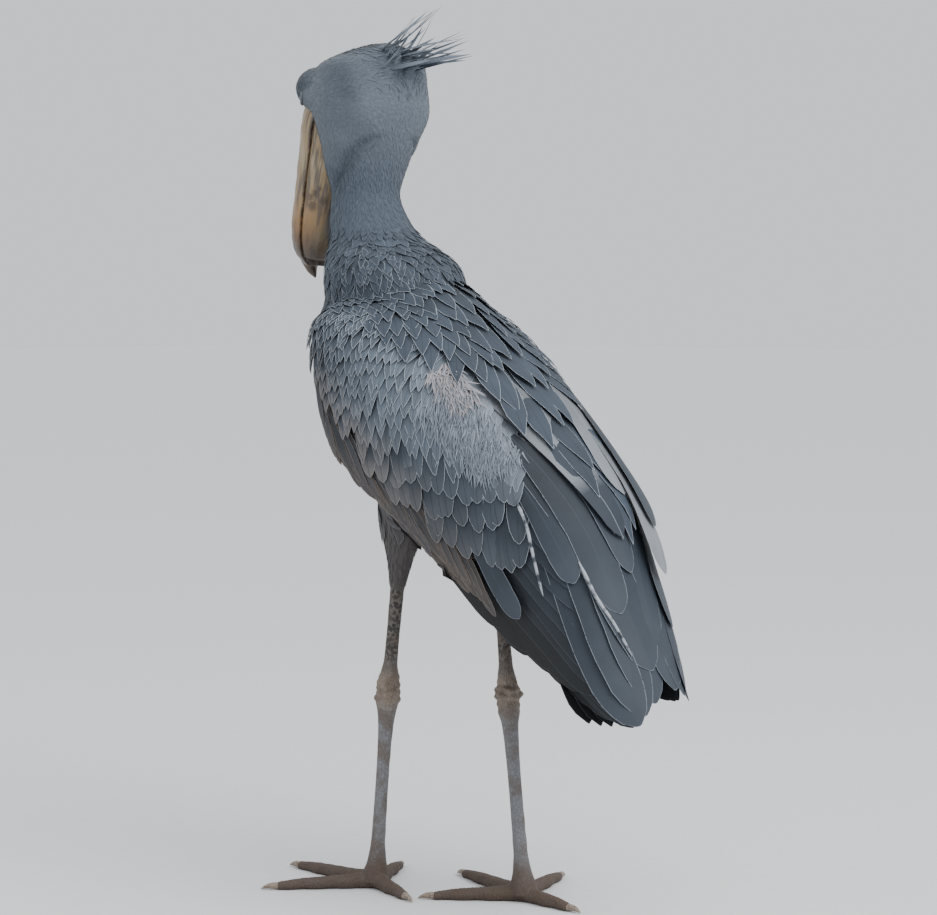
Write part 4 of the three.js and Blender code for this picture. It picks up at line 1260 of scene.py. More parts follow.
# %% Coverts
covert_row = profile([  # row: first tip's back and up, last tip's back and up, length, half width
    [0, 312, -58, 462, 16, 116, 15.5], [1, 222, -68, 392, 56, 96, 14], [2, 150, -62, 350, 80, 72, 11.6],
    [3, 94, -56, 286, 88, 54, 9.4], [4, 50, -46, 206, 88, 41, 7.6], [5, 14, -30, 130, 84, 32, 6.6],
    [6, -4, -18, 60, 60, 23, 5.6],
])
COVERT_ROWS = [0, 0.6, 1.15, 1.6, 2.0, 2.35, 2.7, 3.05, 3.4, 3.75, 4.1, 4.45, 4.8, 5.15, 5.5, 5.8, 6]


def wing_lines(side, root, tip, rows):
    """Lines between roots and tips given as [back, up] on the wing, and their outward directions."""
    share = towards_tip(rows)
    path = root[:, None] * (1 - share) + tip[:, None] * share
    q = turn_at(path[..., 0], path[..., 1])
    return hull(side, path[..., 0], q), steady(hull_out(side, path[..., 0], q))


SILK_AT, SILK_REACH = (285, 76), (80, 30)  # the wing's silky middle, as back and up


def silk(back, up):
    """How far a place on the wing is in its silky pale middle."""
    return soft_spot((back - SILK_AT[0]) / SILK_REACH[0], (up - SILK_AT[1]) / SILK_REACH[1])


for name, side in SIDES.items():
    tips, sizes = [], []
    for row in COVERT_ROWS:
        from_back, from_up, to_back, to_up, long, half = covert_row(row)
        count = int(math.hypot(to_back - from_back, to_up - from_up) / (1.25 * half)) + 1
        share = (np.arange(count) + RNG.uniform(-0.12, 0.12, count) + 0.5 * (round(row * 3) % 2)) / count
        tips.append(stacked(from_back + (to_back - from_back) * share, from_up + (to_up - from_up) * share))
        sizes.append(np.tile([long, half, row], (count, 1)))
    tips, sizes = np.vstack(tips), np.vstack(sizes)
    tips += RNG.normal(0, 1, tips.shape) * sizes[:, 1:2] * [0.44, 0.16]
    slope = np.radians(-48 + 14 * smooth_step(tips[:, 0], 100, 420) + RNG.normal(0, 4, len(tips)))
    long = sizes[:, 0] * (1 + RNG.normal(0, 0.1, len(tips)))
    root = stacked(np.maximum(tips[:, 0] - long * np.cos(slope), -8), tips[:, 1] - long * np.sin(slope))
    _, top, bottom = wing_at(root[:, 0]).T
    root[:, 1] = np.clip(root[:, 1], bottom + 1, top - 1)
    line, out = wing_lines(side, root, tips, 7)
    low_wing = 1 - smooth_step(tips[:, 1], -60, 20)
    rear = 1 - smooth_step(sizes[:, 2], 0.6, 2.6)
    silky = silk(tips[:, 0], tips[:, 1])
    front = 1 - smooth_step(tips[:, 0], 40, 150)
    slaty = np.clip(rear + 0.75 * low_wing + 0.5 * front, 0, 1)
    base = blend(blend(WING_GREY, COVERT_SLATE, slaty), WING_SILK, silky)
    rim = blend(RIM_PALE, BEIGE, low_wing * 0.7)
    brown_tips = low_wing * (sizes[:, 2] < 4) * (1 - 0.7 * smooth_step(tips[:, 0], 210, 320))
    look = {"base": shaded(base, 0.1), "rim": blend(base, rim, 0.9 - 0.6 * silky),
            "dip": 0.06 + 0.42 * brown_tips}
    big = sizes[:, 2] < 1.5
    for kind, chosen, shape in (("coverts_", ~big, "lance"), ("great_coverts_", big, "rounded")):
        picked = {key: values[chosen] for key, values in look.items()}
        feathers(kind + name, line[chosen], out[chosen], sizes[chosen, 1], shape, wing_plumage, picked,
                 unwrap_up(side, root)[chosen],
                 lift=(-2.5, (4.5 + 3 * rear)[chosen]), columns=7, camber=55.0, rim_width=0.6)

# %% [markdown]
# ## Silky wisps, down and flank feathers
# Over the middle of the wing the small feathers are loose, so they fray into silky strands, and where the
# scapulars part from the wing pinkish-white down shows. Below the coverts hang long brown-grey feathers.

# %% Wisps and flank feathers
WISPS, DOWNS = 1200, 360
WISP_LENGTH, WISP_LEAN = 27, 0.75
DOWN_LENGTH, DOWN_LEAN = 22, 0.4
FLANK_STEP = 11  # millimetres from one flank feather of a row to the next
FLANK_ROWS = [  # back of the first and the last tip, up of the first, length
    (104, 330, -95, 70), (140, 400, -90, 110), (190, 452, -84, 138),
]


def strewn(side, number, back, up, length, lean):
    """Lines of narrow strands strewn on the wing: roots even in a box of back and up, each going back by its
    length and down by its length times the lean."""
    root = np.stack([RNG.uniform(*back, number), RNG.uniform(*up, number)], -1)
    long = length * RNG.uniform(0.6, 1.2, number)
    way = np.stack([np.ones(number), -lean + RNG.normal(0, 0.3, number)], -1)
    tip = root + unit(way) * long[:, None]
    line, out = wing_lines(side, root, tip, 6)
    bent = RNG.normal(0, 0.12, number)[:, None] * long[:, None] * towards_tip(6).T ** 2
    line = line + unit(np.cross(np.gradient(line, axis=1), out)) * bent[..., None]
    return root, line, out


for name, side in SIDES.items():
    root, line, out = strewn(side, WISPS, (196, 322), (46, 98), WISP_LENGTH, WISP_LEAN)
    keep = RNG.random(WISPS) < silk(root[:, 0] + 12, root[:, 1] - 6) * 1.3
    base = shaded(blend(WING_SILK, WING_GREY, RNG.uniform(0, 0.8, WISPS)), 0.06)[keep]
    feathers("silk_" + name, line[keep], out[keep], np.full(keep.sum(), 1.15), "wisp", soft_plumage,
             plain(base, RIM_PALE, 0.5),
             unwrap_up(side, root)[keep],
             lift=(2.5, RNG.uniform(5, 8, keep.sum())), columns=3, thick=0.25, camber=40.0)
    root, line, out = strewn(side, DOWNS, (174, 234), (79, 99), DOWN_LENGTH, DOWN_LEAN)
    base = shaded(blend(DOWN_PINK, WING_SILK, RNG.uniform(0, 1, DOWNS)), 0.1)
    feathers("down_" + name, line, out, np.full(DOWNS, 1.1), "wisp", soft_plumage, plain(base, RIM_PALE, 0.2),
             unwrap_up(side, root),
             lift=(3.0, RNG.uniform(5, 10, DOWNS)), columns=3, thick=0.25, camber=40.0)
    tips, sizes = [], []
    for row, (from_back, to_back, up, long) in enumerate(FLANK_ROWS):
        count = int((to_back - from_back) / FLANK_STEP)
        share = (np.arange(count) + 0.5 * (row % 2)) / count
        tips.append(stacked(from_back + (to_back - from_back) * share,
                            up + 22 * share + RNG.normal(0, 3, count)))
        sizes.append(np.tile([long, 7.0 + row, 1.5 + 1.5 * row], (count, 1)))
    tips, sizes = np.vstack(tips), np.vstack(sizes)
    slope = np.radians(-13 + RNG.normal(0, 3, len(tips)))
    root = tips - sizes[:, :1] * stacked(np.cos(slope), np.sin(slope))
    for ends in (root, tips):
        ends[:, 1] = np.maximum(ends[:, 1], wing_at(ends[:, 0])[:, 2] + 3)
    line, out = wing_lines(side, root, tips, 8)
    base = shaded(blend(FLANK_BROWN, COVERT_SLATE, RNG.uniform(0.3, 0.9, len(tips))), 0.14)
    feathers("flank_" + name, line, out, sizes[:, 1], "rounded", wing_plumage, plain(base, BEIGE, 0.6, 0.25),
             unwrap_up(side, root),
             lift=(-4.0, sizes[:, 2]), columns=5, camber=50.0, rim_width=0.7, ragged=0.06)

# %% [markdown]
# ## Flight feathers and tertials
# The long feathers of a folded wing slide over each other like a fan being closed. The primaries lie lowest
# and reach furthest back, the secondaries over them, and the broad inner tertials cover both from above.

# %% Flight feathers
FLIGHT = np.array([  # root's back and up, tip's back and up, lift, half width
    [264, -60, 500, -76, -8.0, 20], [264, -56, 540, -66, -7.4, 21], [266, -52, 576, -54, -6.8, 22],
    [266, -46, 606, -46, -6.2, 22], [268, -40, 632, -38, -5.6, 22], [270, -34, 650, -30, -5.0, 22],
    [270, -28, 656, -24, -4.4, 22], [272, -22, 658, -20, -3.8, 22], [262, -74, 452, -74, -3.0, 18],
    [266, -66, 496, -68, -2.6, 20], [270, -56, 540, -58, -2.2, 21], [276, -46, 580, -44, -1.6, 23],
    [284, -30, 600, -28, -0.8, 24], [290, -12, 612, -8, 0.2, 25], [296, 4, 604, 6, 1.2, 25],
    [298, 18, 584, 18, 2.2, 25], [300, 32, 560, 30, 3.2, 25], [300, 44, 534, 40, 4.2, 25],
    [298, 58, 512, 52, 5.2, 25], [296, 70, 490, 60, 6.2, 25],
])
FAR_FOLD = 26  # the far wing's tips are folded this much further in
for name, side in SIDES.items():
    root, tip, high, half = FLIGHT[:, :2], FLIGHT[:, 2:4], FLIGHT[:, 4], FLIGHT[:, 5]
    tip = tip + RNG.normal(0, 1.5, tip.shape)
    tip[:, 0] -= FAR_FOLD * (side < 0) * smooth_step(tip[:, 0], 560, 650)
    line, out = wing_lines(side, root, tip, 16)
    low_wing = 1 - smooth_step(tip[:, 1], -50, 50)
    base = shaded(blend(FLIGHT_SLATE, FLIGHT_DARK, low_wing), 0.05)
    feathers("flight_feathers_" + name, line, out, half, "long", flight_plumage, plain(base, RIM_PALE, 0.1),
             unwrap_wing(side,
                         stacked(root[:, 0] + np.arange(len(FLIGHT)) * 9, turn_at(root[:, 0], root[:, 1]))),
             lift=(np.minimum(high - 6, -4), high), columns=9, camber=140.0, slant=0.05 * side,
             ragged=0.015, rim_width=0.6)

# Tertials: side, root's back and q, tip's back and q, half width, lift of root and tip, and colour
TERTIALS = [
    (1, 300, 0.62, 658, 0.36, 32, -3, 5, FLIGHT_SLATE),
    (1, 300, 0.72, 650, 0.66, 32, -2, 6, FLIGHT_SLATE),
    (1, 310, 0.84, 640, 0.98, 35, -1, 6, FLIGHT_SLATE),
    (1, 300, 0.6, 606, 1.07, 33, 1, 8, FLIGHT_SLATE),
    (1, 320, 0.9, 584, 1.06, 20, 1, 7, FLIGHT_SLATE),
    (1, 300, 0.7, 540, 0.86, 24, 3, 9, FLIGHT_SLATE),
    (1, 240, 0.9, 500, 1.14, 22, 2, 9, FLIGHT_SLATE),
    (1, 215, 0.98, 404, 1.12, 17, 4, 8, TERTIAL_PALE),
    (1, 200, 0.78, 462, 1.12, 22, -3, 14, TERTIAL_PALE, "dark tip"),
    (1, 330, 0.52, 487, 0.47, 17, 1, 10, COVERT_SLATE),
    (1, 320, -0.06, 468, -0.32, 15, 1, 9, COVERT_SLATE),
    (-1, 300, 0.66, 640, 0.4, 32, -2, 6, FLIGHT_SLATE),
    (-1, 300, 0.74, 636, 0.72, 32, -1, 7, FLIGHT_SLATE),
    (-1, 310, 0.86, 630, 0.98, 34, 0, 8, FLIGHT_SLATE),
    (-1, 320, 0.95, 584, 1.14, 24, 1, 7, FLIGHT_SLATE),
    (-1, 250, 0.9, 505, 0.82, 29, 6, 23, TERTIAL_PALE),
    (-1, 230, 0.8, 452, 0.84, 24, 8, 25, FLIGHT_SLATE),
    (-1, 190, 0.95, 414, 1.05, 22, 4, 14, TERTIAL_PALE),
    (-1, 260, 0.74, 560, 0.7, 26, 2, 12, FLIGHT_SLATE),
    (-1, 300, 0.5, 480, 0.42, 18, 1, 9, COVERT_SLATE),
]
for name, side in SIDES.items():
    rows = [row for row in TERTIALS if row[0] == side]
    numbers = np.array([row[1:8] for row in rows], float)
    line, out = hull_lines(side, numbers[:, 0:2], numbers[:, 2:4], 16)
    base = np.array([row[8] for row in rows])
    dark_tip = np.array([len(row) > 9 for row in rows], float)
    look = plain(base, RIM_PALE, 0.4, 0.08 + 2.5 * dark_tip)
    look["rim"] = blend(look["rim"], FLIGHT_SLATE, dark_tip)
    feathers("tertials_" + name, line, out, numbers[:, 4], "long", flight_plumage, look,
             unwrap_wing(side, numbers[:, 0:2]), lift=(numbers[:, 5], numbers[:, 6]), columns=11,
             camber=110.0,
             ragged=0.015, slant=0.04 * side, rim_width=0.7)

# %% Vent tufts
TUFTS = 220
at = np.stack([RNG.uniform(370, 520, TUFTS), RNG.uniform(-46, 40, TUFTS), RNG.uniform(-78, -62, TUFTS)], -1)
at[:, 2] += 0.3 * (at[:, 0] - 430).clip(0)
long = RNG.uniform(24, 52, TUFTS)[:, None]
share = np.linspace(0, 1, 6)[None]
line = on_body(at[:, 0:1] + 0.75 * long * share, at[:, 1:2] * (1 + 0.1 * share),
               at[:, 2:3] - 0.5 * long * share)
line[..., 2] -= 7 * share**2
line += RNG.normal(0, 2.2, (TUFTS, 1, 3)) * share[..., None]
out = unit(np.cross(np.gradient(line, axis=1), [0.0, 1.0, 0.1]))
base = shaded(blend(FLANK_BROWN, BEIGE, RNG.uniform(0, 0.8, TUFTS)), 0.1)
feathers("vent_tufts", line, out, RNG.uniform(1.2, 3.4, TUFTS), "wisp", soft_plumage, plain(base, BEIGE, 0.3),
         unwrap_body(line[:, 0]), lift=(0, 0), columns=3, thick=0.3, camber=30.0)

# %% Bare quills
# Two shafts on the near wing have lost their barbs, and show as white tubes broken by dark patches.
QUILL_WHITE = linear("#8f949b")
quill_keratin, tree, shader = finish_of("bare quill keratin", 0.35)
patches = noise(tree, object_place(tree), 60.0, 3.0)
painted(tree, shader, mixed(tree, fade(tree, patches, 0.46, 0.58), QUILL_WHITE, FLIGHT_SLATE))
QUILLS = [[(370, 0.4), (400, 0.35), (437, 0.23), (474, 0.1)],
          [(470, 0.6), (515, 0.63), (546, 0.71), (586, 0.8)]]
shells = []
for quill in QUILLS:
    path = profile([[i, *knot] for i, knot in enumerate(quill)])(np.linspace(0, len(quill) - 1, 50))
    out = hull_out(1, path[:, 0], path[:, 1])
    line = hull(1, path[:, 0], path[:, 1]) + out * np.linspace(10.5, 9.5, 50)[:, None]
    going = unit(np.gradient(line, axis=0))
    size = np.interp(np.linspace(0, 1, 50), [0, 0.1, 0.9, 1], [0.8, 2.3, 1.7, 0.4])
    shells.append(tube(ovals(line, unit(np.cross(going, out)), out, size, size, 10)))
quills = put_mesh("bare_quills", *joined(shells), quill_keratin)
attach(quills, "root")
print("bare quills:", len(QUILLS))

# %% [markdown]
# ## Tail and crest
# Eight tail feathers fan from the rump under the wing tips. The crest is a loose tuft of narrow plumes on
# the back of the crown, each bending a little under its own weight.

# %% Tail
TAIL_FEATHERS, TAIL_ROOT, TAIL_TIP = 8, 470, 622
turn = np.linspace(-1, 1, TAIL_FEATHERS)
share = np.linspace(0, 1, 12)[None]
reach = (TAIL_TIP - 14 * turn**2 - TAIL_ROOT)[:, None]
line = on_body(TAIL_ROOT + reach * share, turn[:, None] * (24 + 26 * share), -46 - 25 * share)
out = np.broadcast_to(on_body(0, 0, 1) - on_body(0, 0, 0), line.shape)
base = shaded(np.tile(FLIGHT_DARK * 1.5, (TAIL_FEATHERS, 1)))
feathers("tail_feathers", line, out, np.full(TAIL_FEATHERS, 23.0), "rounded", flight_plumage,
         plain(base, RIM_PALE, 0.3),
         unwrap_body(line[:, 0]), lift=(0, 5 - 6 * np.abs(turn)), columns=7, camber=120.0,
         slant=0.03 * np.sign(turn), ragged=0.02)

# %% Crest
CREST_EACH = 8
PLUMES = np.array([  # root and tip in the head's axes, and greatest width
    [-58, 4, 56, -118, -26, 112, 9], [-64, 18, 52, -136, 26, 90, 10], [-66, -14, 46, -146, -52, 80, 10],
    [-72, 2, 42, -158, -18, 68, 11], [-70, 20, 40, -140, 38, 64, 10], [-72, -16, 36, -150, -54, 54, 11],
    [-76, 6, 30, -144, 4, 44, 10],
])
spread_out = np.repeat(PLUMES, CREST_EACH, axis=0)
number = len(spread_out)
first = spread_out[:, 0:3] + RNG.normal(0, 6.0, (number, 3)) + [4, 0, 6]
last = spread_out[:, 3:6] + RNG.normal(0, 7.0, (number, 3))
keep_short = RNG.uniform(0.5, 1.0, number)
keep_short[::CREST_EACH] = 1.0
last[::CREST_EACH] = PLUMES[:, 3:6]
last = first + (last - first) * keep_short[:, None]
reach = np.linalg.norm(last - first, axis=1)
middle = first + reach[:, None] * ([-0.42, 0, 0.06] + RNG.normal(0, 0.03, (number, 3)))
share = np.linspace(0, 1, 12)[None, :, None]
line = (first[:, None] * (1 - share) ** 2 + 2 * middle[:, None] * share * (1 - share)
        + last[:, None] * share**2)
line = on_head(line[..., 0], line[..., 1], line[..., 2])
going = unit(np.gradient(line, axis=1))
over = unit(np.cross(going, np.cross([0.0, 0.0, 1.0], going)))
roll = RNG.uniform(0.3, 1.3, number)[:, None, None]
out = over * np.cos(roll) + unit(np.cross(going, over)) * np.sin(roll)  # each plume has its own twist
base = shaded(np.tile(HEAD_GREY * 1.2, (number, 1)), 0.12)
feathers("crest", line, out, spread_out[:, 6] * RNG.uniform(0.18, 0.36, number), "lance", soft_plumage,
         plain(base, RIM_PALE, 0.1),
         unwrap_head(line[:, 0]), lift=(0, 0), columns=3, thick=0.4, camber=9.0)
for name in COAT:
    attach(bpy.data.objects[name], "root")
print("coat:", sum(COAT.values()), "triangles in", len(COAT), "pieces")

# %% [markdown]
# ## The bill
# The huge bill is a hollow horn sheath: steep sides, a groove on each side of the culmen and a nail-like
# hook. The upper half and its hook are two surfaces, melted together by a fine remesh as the skin was. The
# lower half is one surface, whose two rims carry horn and whose middle is the bare skin of the pouch.

# %% Bill shapes
HALF_SECTION = profile([  # round from the cutting edge to the culmen: across and high, as shares
    [0, 1, 0], [0.12, 1.01, 0.16], [0.3, 0.98, 0.36], [0.48, 0.86, 0.62], [0.62, 0.68, 0.78],
    [0.73, 0.5, 0.83],
    [0.79, 0.42, 0.8], [0.86, 0.34, 0.88], [0.93, 0.2, 0.97], [1, 0, 1],
])
along = np.linspace(-30, 205, 110)
half, ridge, chin = bill_at(along).T
t = np.linspace(0, 1, 30)
section = HALF_SECTION(t)
across = np.concatenate([section[:, 0], -section[::-1, 0][1:]])
high = np.concatenate([section[:, 1], section[::-1, 1][1:]])
closing = np.linspace(-0.94, 0.94, 18)
across = np.concatenate([across, closing])
high = np.concatenate([high, 0.06 * (1 - closing**2)])
upper_rings = on_bill(along[:, None] + 0 * across, half[:, None] * across, ridge[:, None] * high)
hook_at = profile([  # step: along, out, half size
    [0, 178, 20, 17], [1, 194, 20, 14], [2, 206, 14, 10], [3, 214, 6, 5.5], [4, 220, -2, 1.0],
])(np.linspace(0, 4, 30))
line = on_bill(hook_at[:, 0], 0, hook_at[:, 1])
wide_way, deep_way = frames_along(line, on_head(0, 1, 0) - HEAD_CENTRE)
hook_rings = ovals(line, wide_way, deep_way, hook_at[:, 2], hook_at[:, 2], 28)


def finished(piece, material, slot, *nodes):
    """A piece gets its material, rides on the one body, and stands for its nodes of the frame."""
    piece.data.materials.clear()
    piece.data.materials.append(material)
    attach(piece, "root")
    if nodes:
        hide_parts(*nodes)
    print(piece.name, len(piece.data.polygons), "faces, in place of", ", ".join(nodes) or "no node")


BILL_VOXEL = 0.0014
upper_bill = melted("bill_sheath_upper", [tube(upper_rings), tube(hook_rings)], BILL_VOXEL, 4)
points, outward = places(upper_bill)
in_bill = to_bill(points)
NOSTRIL = (24, 19, 42)
dent = 0
for side in SIDES.values():
    dent = dent + 2.6 * soft_spot((in_bill[:, 0] - NOSTRIL[0]) / 6, (in_bill[:, 1] - side * NOSTRIL[1]) / 2.2)
dent = dent * (in_bill[:, 2] > 20)
waves = np.sin(in_bill[:, 0] * 0.21 + 2.0 * np.sin(in_bill[:, 1] * 0.13))
rough = 0.35 * waves * np.sin(in_bill[:, 1] * 0.4 + in_bill[:, 2] * 0.3)
put_places(upper_bill, points - outward * (dent + rough)[:, None])
note(upper_bill, "bill", in_bill)

along = np.linspace(-30, 191, 100)
half, ridge, chin = bill_at(along).T
round_under = np.linspace(0, math.pi, 44)
across, deep = np.cos(round_under), -np.sin(round_under)
rim_in = np.linspace(-0.93, 0.93, 16)
across = np.concatenate([across, rim_in])
deep = np.concatenate([deep, np.full(16, -0.02)])
pouch = 1 - 0.1 * soft_spot(across / 0.45)
lower_rings = on_bill(along[:, None] + 0 * across, (half - 3)[:, None] * across,
                      -0.5 + chin[:, None] * deep * pouch)
lower_bill = put_mesh("bill_sheath_lower", *tube(lower_rings))
face_outwards(lower_bill)
note(lower_bill, "bill", to_bill(places(lower_bill)[0]))

# %% [markdown]
# ## The finish of horn
# Horn grows forward in layers, so its colour and its scratches run along the bill. It is straw-coloured,
# with grey-brown streaks where it is stained, darker at the hook and along the cutting edge. It is a
# little glossy where it is polished by use.

# %% Horn material
HORN_STRAW = linear("#85704f")
HORN_PALE = linear("#96876b")
HORN_GREY = linear("#4c443d")
HORN_BROWN = linear("#33271f")
HORN_MARKS = [  # stains of the left lower jaw: middle in the bill's axes, and reach
    ((118, 38, -16), 9), ((107, 40, -12), 6), ((100, 38, -18), 6), ((93, 36, -24), 5), ((108, 29, -30), 7),
]
HORN_ORANGE = linear("#93632b")
POUCH_BLUE = linear("#454e58")


def horn_finish(name, pouch_share):
    """Straw horn with streaks: noise read at a place that is stretched along the bill, and masks by the
    place."""
    made, tree, shader = finish_of(name, 0.42, Coat_Weight=0.08, Coat_Roughness=0.3)
    bill = stored(tree, "bill")
    along, left, out = split(tree, bill)
    streaks = noise(tree, stretched(tree, bill, (0.012, 0.16, 0.16)), 1.0, 6.0, Distortion=0.6)
    stains = noise(tree, stretched(tree, bill, (0.018, 0.05, 0.05)), 1.0, 3.0)
    fine = noise(tree, bill, 0.9, 4.0)
    off_middle = math_node(tree, "ABSOLUTE", left)
    colour = mixed(tree, fade(tree, stains, 0.4, 0.66), HORN_STRAW, HORN_PALE)
    colour = mixed(tree, times(tree, fade(tree, streaks, 0.46, 0.62), 0.85), colour, HORN_GREY)
    orange = times(tree, fade(tree, along, 95, 150), fade(tree, off_middle, 22, 36))
    colour = mixed(tree, times(tree, orange, 0.45), colour, HORN_ORANGE)
    hooked = fade(tree, math_node(tree, "ADD", along, times(tree, fine, 40)), 150 - 6 * pouch_share, 212)
    colour = mixed(tree, times(tree, hooked, 0.9), colour, HORN_BROWN)
    edge = rest_of(tree, fade(tree, math_node(tree, "ABSOLUTE", out), 0.4, 3.0))
    blots = fade(tree, noise(tree, bill, 0.09, 2.0), 0.45, 0.62)
    edge = times(tree, edge, math_node(tree, "MULTIPLY_ADD", blots, 0.5, 0.3))
    colour = mixed(tree, edge, colour, HORN_BROWN)
    if pouch_share:
        for middle, reach in HORN_MARKS:
            away = add(tree, "ShaderNodeVectorMath", {"operation": "DISTANCE", 1: middle}, {0: bill})
            ragged = math_node(tree, "ADD", away.outputs["Value"],
                               math_node(tree, "MULTIPLY_ADD", fine, 14, -7))
            mark = rest_of(tree, fade(tree, ragged, reach * 0.5, reach * 1.2))
            colour = mixed(tree, times(tree, mark, 0.75), colour, HORN_BROWN)
        under = fade(tree, times(tree, out, -1.0), 14, 22)
        under = times(tree, under, rest_of(tree, fade(tree, along, 130, 170)))
        pouch = times(tree, rest_of(tree, fade(tree, off_middle, 13, 24)), under)
        colour = mixed(tree, times(tree, pouch, pouch_share), colour, POUCH_BLUE)
    painted(tree, shader, colour)
    bumped(tree, shader, math_node(tree, "ADD", streaks, times(tree, fine, 0.35)), 0.35, 0.0012)
    return made


finished(upper_bill, horn_finish("straw horn of the upper bill", 0), "bill_horn", "bill_upper")
finished(lower_bill, horn_finish("straw horn and pouch skin", 0.9), "bill_horn", "bill_lower")

# %% [markdown]
# ## The eyes
# A shoebill's eye is pale with a round black pupil, under a clear cornea. The ball is one surface whose
# front bulges a little, coloured by how far a point is from its axis. Each eye looks out of a ring of bare,
# wrinkled lid, made as a tube of flat section that follows the edge of the opening.

# %% Eyes and lids
LID_STANDS_OFF = 8  # degrees from the opening's edge to the middle of the lid
IRIS_PALE = linear("#c4c2b2")
IRIS_RIM = linear("#80867a")
IRIS_EDGE = linear("#3b3d3a")
PUPIL = linear("#07080a")
LID_GREY = linear("#4d565f")
eye_glass, tree, shader = finish_of("eye under a clear cornea", 0.06, Coat_Weight=1.0, Coat_Roughness=0.02)
off_axis = split(tree, stored(tree, "off_axis"))["X"]
rays = noise(tree, object_place(tree), 900.0, 2.0)
iris = mixed(tree, fade(tree, rays, 0.35, 0.7), IRIS_PALE, IRIS_RIM)
iris = mixed(tree, fade(tree, off_axis, 6.8, 8.6), iris, IRIS_EDGE)
painted(tree, shader, mixed(tree, fade(tree, off_axis, 3.9, 4.3), PUPIL, iris))
lid_skin, tree, shader = finish_of("bare lid skin", 0.6)
grain = noise(tree, object_place(tree), 700.0, 4.0)
painted(tree, shader, mixed(tree, grain, LID_GREY * 0.6, LID_GREY * 1.2))
bumped(tree, shader, grain, 0.6, 0.0005)
for name in SIDES:
    centre, axis = EYES[name], eye_axes[name]
    away_front = unit(np.cross(axis, [0, 0, 1]))
    away_up = np.cross(away_front, axis) * -1
    tilt = np.linspace(0.001, math.pi - 0.001, 60)[:, None]
    turn = np.linspace(0, 2 * math.pi, 64, endpoint=False)[None]
    bulge = EYE_RADIUS + 0.5 * soft_spot(tilt / 0.55)
    sides_way = away_front * np.cos(turn)[..., None] + away_up * np.sin(turn)[..., None]
    rings = centre + bulge[..., None] * (axis * np.cos(tilt)[..., None] + sides_way * np.sin(tilt)[..., None])
    points, triangles = tube(rings)
    ball_piece = put_mesh("eye_ball_" + name, points, triangles)
    face_outwards(ball_piece)
    off = np.linalg.norm(np.cross(points - centre, axis), axis=1)
    note(ball_piece, "off_axis", stacked(off, 0, 0))
    finished(ball_piece, eye_glass, "eye", "eye_" + name)
    turn = np.linspace(0, 2 * math.pi, 96, endpoint=False)
    flat = away_front * np.cos(turn)[:, None] + away_up * np.sin(turn)[:, None]
    reach = np.radians(lid_edge(flat) + LID_STANDS_OFF)
    outward_way = axis * np.cos(reach)[:, None] + flat * np.sin(reach)[:, None]
    slide = -axis * np.sin(reach)[:, None] + flat * np.cos(reach)[:, None]
    fold = np.linspace(0, 2 * math.pi, 20, endpoint=False)
    wrinkle = 1 + 0.12 * np.sin(9 * turn)[:, None]
    lid = centre + outward_way[:, None] * (EYE_RADIUS + 0.9 + 1.1 * wrinkle * np.sin(fold))[..., None]
    lid = lid + slide[:, None] * (2.2 * np.cos(fold))[None, :, None]
    number = len(turn)
    faces = tube_faces(number + 1, 20, cap=False) % (number * 20)
    lids = put_mesh("eyelids_" + name, lid, faces)
    face_outwards(lids)
    finished(lids, lid_skin, "head_plumage")

# %% [markdown]
# ## Legs, feet and claws
# A wader's leg is skin over bone: a thin shin, the knobbly ankle that looks like a backward knee, a long
# tarsus and four spread toes. The tubes of one leg are melted together, folds are pressed into the ankle
# and rings into the toes, and what reaches below the floor is laid flat on it.

# %% Legs
# Each toe's turn from the foot's heading in degrees, and its length as a share of the middle toe's.
TOES = [(165, 0.52), (-58, 0.74), (0, 1.0), (52, 0.84)]
TOE_LENGTH = 150
LEG_VOXEL = 0.0017
TOE_RING = 5.2  # millimetres from one ring of a toe to the next
ON_FLOOR = 0.02  # the height of what is laid flat on the floor
TOE_SIZES = profile([[0, 12], [0.25, 9.5], [0.5, 8.5], [0.75, 7.5], [1, 5.5]])
SHIN = profile([[0, 8.6, 9], [0.7, 8.3, 9.2], [0.86, 11.8, 13], [0.98, 15, 16]])
TARSUS = profile([
    [-0.04, 14.6, 15.6], [0, 15, 16], [0.08, 13.2, 14.8], [0.15, 10, 11.4], [0.3, 8.4, 9.2], [0.5, 8, 8.5],
    [0.75, 8.6, 8.9],
    [0.85, 9.5, 9.5], [0.93, 12, 12], [1.0, 16.5, 16.5], [1.05, 18, 18],
])


def toe_places(leg, turn, share):
    """The direction of a toe, its line from the foot to its tip, and its half sizes along it."""
    angle = math.radians(leg["heading"] + leg["side"] * turn)
    direction = np.array([math.cos(angle), math.sin(angle), 0.0])
    reach = np.linspace(0, 1, 30)
    size = TOE_SIZES(reach)[:, 0]
    base = np.array([leg["foot"][0], leg["foot"][1], 0.0])
    return direction, base + direction * (reach * TOE_LENGTH * share)[:, None] + stacked(0, 0, size - 1), size


